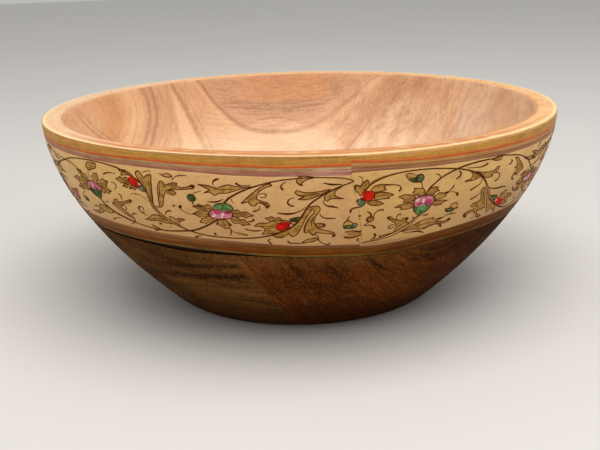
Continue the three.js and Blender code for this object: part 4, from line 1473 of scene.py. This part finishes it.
def rising_flower():
    """A flower whose green calyx is below, with its leaves, buds and the long leaf under it."""
    shape([(51.9, 30), (54.4, 29.5), (56.6, 29.4), (57.8, 27.6), (58.5, 25), (55.4, 25.4), (53.4, 26.4),
           (51.4, 28), (52.8, 28.3)])
    shape([(59.2, 25.1), (59.8, 27.2), (61.2, 28.8), (65.2, 28.8), (64, 27.9), (66.2, 26.6), (64, 26.3),
           (63.4, 25)])
    shape([(44.8, 26.3), (47.6, 27), (50.4, 26.6), (53.2, 25.4), (53.2, 23.6), (51, 22.6), (47.7, 22.7),
           (48.2, 24.2), (46.6, 25.2)], RUSSET)
    shape([(43.6, 20.4), (46, 21.4), (49.4, 21.8), (53, 21.3), (54, 19.4), (50.6, 18.6), (47, 18.8),
           (47.4, 19.8)], RUSSET)
    shape([(64.2, 23.4), (66.6, 25.4), (69, 24.6), (72.2, 24.8), (69.8, 23.6), (70.9, 22.9), (67.8, 22),
           (64.8, 21.6)])
    shape([(64.2, 21.2), (68, 20.9), (72.4, 20.1), (69.2, 19.1), (69.4, 18.2), (66.2, 18.2), (63.4, 19.4)],
          RUSSET)
    petals = [(52.9, 22), (53.6, 23.9), (56, 25), (59, 25.2), (62, 24.7), (64.1, 23), (64.2, 21),
              (62.6, 18.9), (58.4, 19.6), (54.4, 19)]
    BRUSH.fill(PINK, petals, PETAL_LIFT)
    ink(petals[:8], (0.4, 0.7, 0.5))
    spot(MAGENTA, (61.2, 21.3), 2.0, 1.4, -20, lift=HEART_LIFT)
    spot(MAGENTA, (56.3, 20.9), 1.6, 0.8, 10, lift=HEART_LIFT)
    BRUSH.stroke(WHITE, [(58.2, 20.6), (58.4, 23.6)], (0.9, 1.2, 0.5), lift=TOP_LIFT)
    spot(WHITE, (55, 23), 1.2, 0.8, 30, lift=SPOT_LIFT)
    shape([(53.3, 19.6), (55.6, 19.1), (57.2, 20.4), (59.4, 20.5), (61.4, 18.9), (63.5, 19.6), (62.2, 16.7),
           (60, 14.6), (58.3, 13.5), (56.6, 14.6), (54.5, 16.7)], TEAL)
    spot(GREEN, (58.3, 17.1), 2.9, 2.4, lift=CALYX_LIFT)
    BRUSH.stroke(DARK_GREEN, [(58.3, 14.2), (58.4, 15.4), (58.3, 16.6)], (0.7, 0.8, 0.3), lift=SPOT_LIFT)
    ink([(53.3, 19.6), (54.4, 17), (56.4, 14.9)], BOLD)
    ink([(63.5, 19.6), (62.2, 16.8), (60, 14.8)], BOLD)
    spot(OCHRE, (49.8, 36.4), 3.2, 1.6, -22)
    ink([(46.8, 37.6), (49, 38), (52, 36.9)], THIN)
    spot(DARK_GREEN, (51.8, 34.3), 3.2, 1.3, -14, lift=BUD_LIFT)
    ink([(47, 37.4), (48.6, 35), (51.4, 33.2), (54.6, 32.9)])
    spot(TEAL, (54.2, 34.9), 2.0, 1.9, lift=OVER_LIFT)
    BRUSH.stroke(INK, oval((54.2, 34.9), 2.0, 1.9), (0.6, 0.9, 0.5), closed=True)
    ink([(52.4, 37), (53.2, 35.6), (53, 34)])
    ink([(55, 33), (55.8, 31.4), (56.4, 29.4)], (0.5, 0.3))
    ink([(56.4, 29.4), (57.8, 28), (58.6, 25.6)])
    ink([(62.2, 36.1), (64.2, 35.2), (64.9, 34.2), (64.8, 32.8)], (0.3, 0.6, 0.4))
    ink([(74.7, 35.9), (76.4, 34.7), (76.6, 33.2), (75.4, 32.1), (74.3, 31.7)], (0.3, 0.8, 1.2, 0.6))
    ink([(68, 24.8), (71, 25.2), (73, 26.4), (74.2, 28.2)], (0.4, 0.5, 0.9))
    ink([(72.4, 24.9), (75, 24.4), (76.8, 23.6)], THIN)
    ink([(76.8, 23.8), (78.3, 21.6)], (0.9, 1.6, 0.7))
    shape([(46.2, 4.9), (46.8, 8), (45.8, 10.6), (43.4, 12.6), (41, 14.5), (42.2, 15.4), (43.6, 13.9),
           (46, 12.8), (48.6, 11.8), (49.6, 13), (51.2, 13.1), (51.6, 11.6), (51.4, 10.4), (53.5, 9.7),
           (51.8, 8.2), (49.8, 6.8), (48, 5.6)])
    ink([(42.3, 15.5), (41.1, 14.6), (43, 12.9)], (0.5, 1.1, 0.6))
    ink([(50.8, 13.2), (52, 12.9), (51.7, 11.2)], (0.6, 1.1, 0.6))
    ink([(47.4, 6.4), (48.4, 8.6), (50.4, 10)], THIN)
    ink(oval((44.2, 8.7), 1.6, 1.1, 20))
    ink([(46.1, 13), (45.9, 14.9), (46.8, 16.1), (47.9, 15.6)], (0.3, 0.5, 0.7))
    shape([(38.6, 3.3), (41, 3.6), (44.6, 4.2), (48.6, 5), (45.4, 2.9), (42, 1.3), (39.6, 0.8), (39.8, 2.2)])
    ink([(38.8, 3.2), (39.8, 2), (39.8, 0.9)], BOLD)
    shape([(50.4, 4.1), (54, 6.4), (58, 8.6), (62, 10.1), (65.4, 10.4), (67.3, 10.8), (66.8, 9.4), (70, 9.3),
           (73.4, 9.4), (71.4, 8.3), (69.2, 7.6), (72.6, 6.9), (76, 6.8), (78.4, 7.9), (79.2, 7), (77.4, 5.8),
           (73, 5.4), (69, 5.8), (66.6, 5.4), (64, 4), (61, 4.3), (57.6, 4.9), (54, 4.6)])
    ink([(77, 7.2), (78.9, 7.4)], (1.0, 2.0, 1.2))
    ink([(70.4, 9.2), (73.2, 9.2)], (0.6, 1.3, 0.8))
    ink([(62.6, 4.3), (65.6, 5), (69, 5.8), (74, 5.6)], BOLD)
    ink([(54.6, 5.6), (60, 7), (66, 7.6)], THIN)
    ink([(52, 3), (57, 3.1), (60.4, 2.9), (64.4, 1.2)], (0.3, 0.5, 1.3, 0.5))
    ink([(72.6, 9.2), (75.4, 10.6), (81.6, 10.6)], (0.3, 0.5, 0.9, 0.3))
    shape(oval((77.8, 15.7), 2.4, 1.9), OCHRE, PEN)
    dark_bud((76.2, 13.5), 3.1, 1.4, -8)
    ink([(72.6, 15.4), (73.6, 14), (75, 13)], BOLD)
    ink([(79.6, 13.4), (81.2, 14.4)], BOLD)
    ink([(71.4, 5), (73.2, 4.6)], THIN)
    ink([(73.2, 4.7), (74.8, 2.8)], (1.0, 1.6, 0.6))
    ink([(54.6, 13), (56, 11.8)], (0.9, 0.4))
    spot(RUSSET, (61.8, 13.1), 1.5, 0.45, 4)
    ink([(60.2, 12.9), (63.4, 13.4)], (0.3, 0.7, 0.5))


def leaning_acanthus():
    """The second acanthus that opens downwards, with its berry and the leaves at its stem."""
    shape([(82.6, 34), (84.4, 32.6), (84.3, 30.8), (80.4, 29.2), (84, 28.9), (88, 29.4), (90.8, 30.6),
           (88, 32.8), (85.6, 33.6)])
    ink([(80.4, 29.3), (82.4, 29.2)], (1.3, 0.6))
    ink([(81, 35.4), (83.6, 33.8), (84.4, 31.6), (83.6, 30)])
    shape([(87.4, 33.2), (92, 32.1), (96, 31.7), (99.6, 32), (101.4, 33.4), (102.8, 33.2), (102.2, 31.2),
           (99.6, 30.2), (97.4, 30), (99.4, 28.7), (96, 28.5), (93, 29.3), (91, 31)])
    ink([(101, 30.2), (103.6, 29.5), (105.1, 27.6), (104.4, 26), (102.4, 25.1)], (0.3, 0.6, 1.0))
    ink([(90.9, 29.7), (91.9, 27.6), (90.9, 25.8), (88.2, 24.4), (85.5, 23.3)], (0.3, 0.5, 0.8, 1.1))
    ink([(87.8, 17.4), (90, 18), (92.4, 19), (93.6, 19.9)], (0.9, 0.8, 0.3))
    ink([(80, 36.4), (86, 35.7), (90, 35.6), (93.4, 36.5)], (0.3, 0.4, 1.1))
    shape([(95.2, 38.4), (97.6, 37.4), (102.6, 36.8), (103.6, 38.9), (99, 38.9)])
    shape([(94, 22), (94.9, 23), (96.4, 22.7), (97.4, 20.6), (98.8, 17), (100.6, 13.2), (102.9, 9.2),
           (101.8, 8.1), (99.6, 9.1), (98.6, 7.9), (97.6, 8.8), (96.2, 6.4), (95.4, 8.2), (93.4, 8.7),
           (90.4, 7.3), (90.1, 5.7), (87.4, 7.6), (88.6, 9), (92, 9.9), (95.4, 10.7), (96.4, 12),
           (94.4, 12.2), (92, 11.9), (90.2, 13), (91.4, 14.2), (94.6, 14.6), (96, 15.6), (95.4, 18)])
    ink([(88.4, 8.6), (88.8, 6.8), (90.2, 5.9)], (1.0, 1.7, 1.0))
    ink([(101.4, 9.6), (102.8, 8.9)], (0.9, 1.6))
    ink([(95.8, 22), (97.2, 18), (97.6, 14)], THIN)
    shape([(98.6, 21.6), (99.6, 18.4), (101.6, 14.4), (104.2, 9.8), (107.4, 4.7), (109.2, 6.2), (110.9, 7),
           (113, 5.2), (116.2, 2.7), (115.2, 5.4), (112.4, 8.2), (108.6, 11), (105, 14.2), (101.6, 18.4)])
    ink([(107.5, 4.8), (109.2, 6.3), (110.9, 7), (113.2, 5)], BOLD)
    shape([(97.9, 7.6), (99.2, 5.6), (101, 4.9), (103.8, 3.3), (101, 3), (98.8, 4.4)], RUSSET)
    ink([(95.4, 3.2), (97.6, 4.6)], THIN)
    ray_leaf((113.6, 13.6), (118.6, 16.4), 3.4)
    ray_leaf((118, 12), (128.4, 10.8), 4.6)
    ray_leaf((119.2, 8.6), (127, 6.2), 3.6, RUSSET)
    shape([(103, 16.3), (106, 15.9), (110, 15), (111.6, 13.7), (109, 12.1), (106, 12.6), (104, 14.4)],
          DARK_GREEN)
    BRUSH.stroke(TEAL, [(107, 13.6), (109.4, 14)], (0.6, 1.0, 0.4), lift=OVER_LIFT)
    berry((114.9, 10.1), 5.0, 2.3, -25, (111.6, 11.6))
    ink([(98.8, 22.5), (102, 21), (107, 20.1), (112, 19.9), (115.8, 18.9)], (0.3, 0.7, 1.0, 0.3))
    shape([(115, 36), (117.4, 33.3), (119.3, 30.5), (117, 29.5), (120.9, 28.6), (118.4, 26.8), (120.2, 25),
           (123.2, 25.3), (125.4, 26), (127.6, 27.3), (124.6, 30.1), (120.6, 33.1), (117.4, 35.3)])
    ink([(122.6, 25.1), (119.6, 25.9), (117.8, 24.8), (118.5, 23.2), (120.9, 22.2)], (0.4, 0.9, 1.2, 0.6))
    ink([(122.6, 25), (124.2, 23.4)], THIN)
    ink([(111.5, 35.4), (112.9, 34.2), (111.9, 33), (110.4, 32.9)], (0.4, 1.1, 0.6))
    shape([(124.6, 33.9), (130, 33.1), (135, 33.1), (138.4, 34), (134.6, 32), (140, 30.4), (133, 30.9),
           (128, 32.2)])
    shape([(126.6, 18), (129, 19.8), (133, 20.6), (135.6, 19.4), (133, 17.5), (129, 17)])
    ink([(123.9, 17.4), (125.4, 15.3), (128.2, 14.2)], (0.4, 0.9, 0.5))
    shape([(126, 14.6), (130.6, 15.1), (134.6, 13), (130, 12.8)], RUSSET)


# The long stems

# Share of a thick stem's width that its paler middle takes
STEM_MIDDLE = 0.36


def thick_stem(path, width, middle=OCHRE):
    """A stretch of stem that is wide enough to show its paler middle between two inked lines."""
    ink(path, (0.5 * width, width, width, 0.5 * width))
    paler = STEM_MIDDLE * width
    BRUSH.stroke(middle, path, (0.1, paler, paler, 0.1), lift=STEM_MIDDLE_LIFT)


def left_stems():
    """The stems from the far left to the hanging flower."""
    falling = [(-75, 29.5), (-74.5, 25), (-73.6, 20.5), (-70.5, 15.5), (-65, 11.5)]
    from_calyx = [(-112.9, 18.9), (-110.5, 15.5), (-105, 11.8), (-98, 9.3), (-90, 7.2)]
    ink([(-128.5, 39), (-120, 40.1), (-108, 40.8), (-97, 40.5), (-89, 39.3), (-82, 36.4), (-77.3, 33),
         *falling, (-57.5, 7.6), (-50, 5.7), (-38, 4.7)], (0.55, 0.6, 0.95, 0.95, 0.6))
    ink([*from_calyx, (-80, 5.8), (-70, 5.6), (-62, 6.7), (-55, 8), (-48.5, 10.8), (-44, 13.5), (-40, 16.2)],
        (1.2, 0.8, 0.6, 0.8, 1.0, 0.9))
    ink(from_calyx, (0.9, 1.35, 1.3, 0.8))
    thick_stem([*falling, (-60, 8.8)], 2.1)


def rising_stem(end):
    """The main stem from under a hanging flower up to the points that end it."""
    ink([(-38, 4.7), (-30, 4.8), (-20, 6), (-12.5, 8.3), (-6, 11.8), (-2, 15.7), (0.8, 20.5), (3, 24.6),
         (8, 29.2), (15, 33.3), *end], (0.6, 0.8, 1.0, 0.8, 0.6))


def calyx_stem(end):
    """The finer stem from the top of a hanging flower."""
    ink([(-35.4, 25.8), (-33, 28.5), (-29, 31.2), (-24, 33.8), (-18, 36), (-12, 37.7), (-5, 38.8), (3, 39.3),
         *end], (1.1, 0.7, 0.5, 0.5))


def falling_stem(start, end):
    """The main stem over its crest and down to the foot of the strip."""
    falling = [(95, 26.5), (97.5, 23.3), (100, 20), (103, 16.3), (107, 13), (110.5, 10.3)]
    ink([*start, (45, 39), (52, 39.3), (60, 39), (68, 38), (76, 36.5), (83, 34.3), (88, 32), (92, 29.3),
         *falling, (115, 7.5), (120, 5.4), *end], (0.9, 0.6, 0.6, 0.9, 1.1, 0.9, 0.6))
    thick_stem(falling, 1.6)


def rising_flower_stems():
    """The thick stem that carries the rising flower, and the fine one from its petals to the far right."""
    falling = [(56, 11.6), (54, 9), (50.5, 6.2), (46.6, 3.8), (41.5, 1.9), (36, 0.6)]
    ink([(58.2, 13.8), *falling, (30.3, -0.2)], (1.2, 0.9, 0.6))
    thick_stem([(57.6, 13.4), *falling], 2.3, PALE)
    ink([(59, 25.6), (60, 28.5), (62.5, 31), (66, 33.8), (70, 35.6), (75, 37.2), (82, 38.3), (90, 38.7),
         (98, 38.5), (103, 38.9), (110, 37.9), (117, 36.7), (124, 34.5), (130, 31.7), (135, 28.2),
         (139.5, 24.6)], (0.8, 0.9, 0.6, 0.6, 0.8))


def draw_seen_part():
    """The stretch from the flower at the far left to the berry at the far right, cut at the seam."""
    left_stems()
    first_flower()
    rising_acanthus()
    hanging_flower()
    falling_acanthus()
    rising_stem([(23, 36.5)])
    calyx_stem([(12, 39), (19, 38.2), (23, 36.9)])
    seam_sprigs()
    leaning_berry()
    rising_flower()
    leaning_acanthus()
    falling_stem([(28, 31), (30.5, 34), (34, 36.2), (39, 38)], [(128, 3), (141.5, 3.8)])
    rising_flower_stems()


def seam_line():
    """The thin line of varnish where the strip's two ends meet."""
    path = [(21.6, 40.6), (22.4, 36), (24.6, 28), (26.8, 18), (28.8, 8), (29.9, 1.2)]
    BRUSH.stroke(RUSSET, path, (0.16, 0.08, 0.2))


# The pattern runs on behind the bowl, with one repeat after another, from where the seen part ends on the
# right to where it starts on the left
REPEAT_START = -38.0
REPEAT_LENGTH = 179.5
REPEATS_BEHIND = 3
# The last repeat is cut short: where its flower would stand in it, how far it is moved on to the right, and
# the flower that it joins on to
LAST_FLOWER_OFFSET = 97.0
LAST_REPEAT_SHIFT = 9.5
FIRST_FLOWER = -113.5
# Size of the calyxes behind, next to the seen one
CALYX_BEHIND = 0.7


def draw_repeat(start_of_repeat, stretch, whole):
    """One repeat behind the bowl, without a seam. One that isn't whole stops after its first acanthus."""
    BRUSH.move(REPEAT_START, start_of_repeat - REPEAT_START, stretch)
    hanging_flower(CALYX_BEHIND)
    falling_acanthus()
    if whole:
        calyx_stem([(12, 39), (22, 38.6), (30, 38.4)])
        seam_sprigs()
        leaning_berry()
        rising_stem([(23, 36.5), (32, 38.3)])
        rising_flower()
        rising_flower_stems()
        leaning_acanthus()
        falling_stem([(32, 38.3)], [(128, 4.6), (141.5, 4.7)])
    else:
        calyx_stem([(10, 38), (20, 37.2), (28, 36.6), (34.8, 35.7), (39, 34.1), (42.6, 31.9)])
        rising_stem([(24, 36), (34.4, 39)])
    BRUSH.move(0, 0)


def draw_vine():
    draw_seen_part()
    first_repeat = REPEAT_START + REPEAT_LENGTH
    behind = ROUND_THE_BOWL + FIRST_FLOWER - LAST_FLOWER_OFFSET - first_repeat
    period = behind / REPEATS_BEHIND
    for number in range(REPEATS_BEHIND):
        draw_repeat(first_repeat + number * period, period / REPEAT_LENGTH, whole=True)
    draw_repeat(first_repeat + behind + LAST_REPEAT_SHIFT, 1.0, whole=False)
    seam_line()
    for colour in PAINTS:
        colour.make()


draw_vine()


# Floor, light and camera

FLOOR_RADIUS = 4.0
FLOOR_CORNERS = 96
SKY_COLOUR = (1.0, 0.99, 0.975, 1)
SKY_STRENGTH = 0.5
LAMP_COLOUR = (1.0, 0.97, 0.93)
LAMP_WATTS = 18.0
LAMP_WIDTH, LAMP_DEPTH = 1.6, 1.2
LAMP_PLACE = Vector((0.12, -0.5, 1.35))
LAMP_AIM = Vector((0, 0, 0.05))

# The photograph's view: from a little above the rim, turned a little clockwise
CAMERA_PLACE = Vector((0, -540.6, 198.0)) * METRES
CAMERA_PITCH = math.radians(16.868)
CAMERA_ROLL = math.radians(-1.459)
CAMERA_YAW = math.radians(-0.14)
LENS = 54
SENSOR_WIDTH = 36
NEAREST_SEEN = 0.01


def make_stage():
    bpy.ops.mesh.primitive_circle_add(vertices=FLOOR_CORNERS, radius=FLOOR_RADIUS, fill_type="NGON")
    floor = bpy.context.object
    floor.name = "floor"
    shader = Shader("pale_floor", 0.9)
    shade = shader.noise(shader.stretched((0.004, 0.004, 0.004)))
    floor.data.materials.append(shader.finish(shader.mix(shade, (226, 224, 221), (220, 218, 215))))


def make_light():
    """A soft sky and one large lamp overhead, in front of the bowl."""
    world = bpy.data.worlds.new("soft_sky")
    bpy.context.scene.world = world
    world.use_nodes = True
    background = world.node_tree.nodes["Background"]
    background.inputs["Color"].default_value = SKY_COLOUR
    background.inputs["Strength"].default_value = SKY_STRENGTH
    lamp = bpy.data.lights.new("overhead_softbox", "AREA")
    lamp.shape = "RECTANGLE"
    lamp.size = LAMP_WIDTH
    lamp.size_y = LAMP_DEPTH
    lamp.energy = LAMP_WATTS
    lamp.color = LAMP_COLOUR
    softbox = bpy.data.objects.new("overhead_softbox", lamp)
    softbox.location = LAMP_PLACE
    softbox.rotation_euler = (LAMP_AIM - LAMP_PLACE).to_track_quat("-Z", "Y").to_euler()
    bpy.context.scene.collection.objects.link(softbox)


def make_camera():
    sideways, forward = math.sin(CAMERA_YAW), math.cos(CAMERA_YAW)
    flat, down = math.cos(CAMERA_PITCH), -math.sin(CAMERA_PITCH)
    ahead = Vector((sideways * flat, forward * flat, down))
    level = Vector((forward, -sideways, 0))
    upward = level.cross(ahead)
    right = math.cos(CAMERA_ROLL) * level + math.sin(CAMERA_ROLL) * upward
    up = -math.sin(CAMERA_ROLL) * level + math.cos(CAMERA_ROLL) * upward
    camera = bpy.data.objects.new("camera", bpy.data.cameras.new("camera"))
    camera.data.lens = LENS
    camera.data.sensor_width = SENSOR_WIDTH
    camera.data.clip_start = NEAREST_SEEN
    turn = Matrix((right, up, -ahead)).transposed().to_4x4()
    camera.matrix_world = Matrix.Translation(CAMERA_PLACE) @ turn
    bpy.context.scene.collection.objects.link(camera)
    bpy.context.scene.camera = camera


make_stage()
make_light()
make_camera()
bpy.context.scene.view_settings.view_transform = "Standard"

bpy.context.view_layer.update()
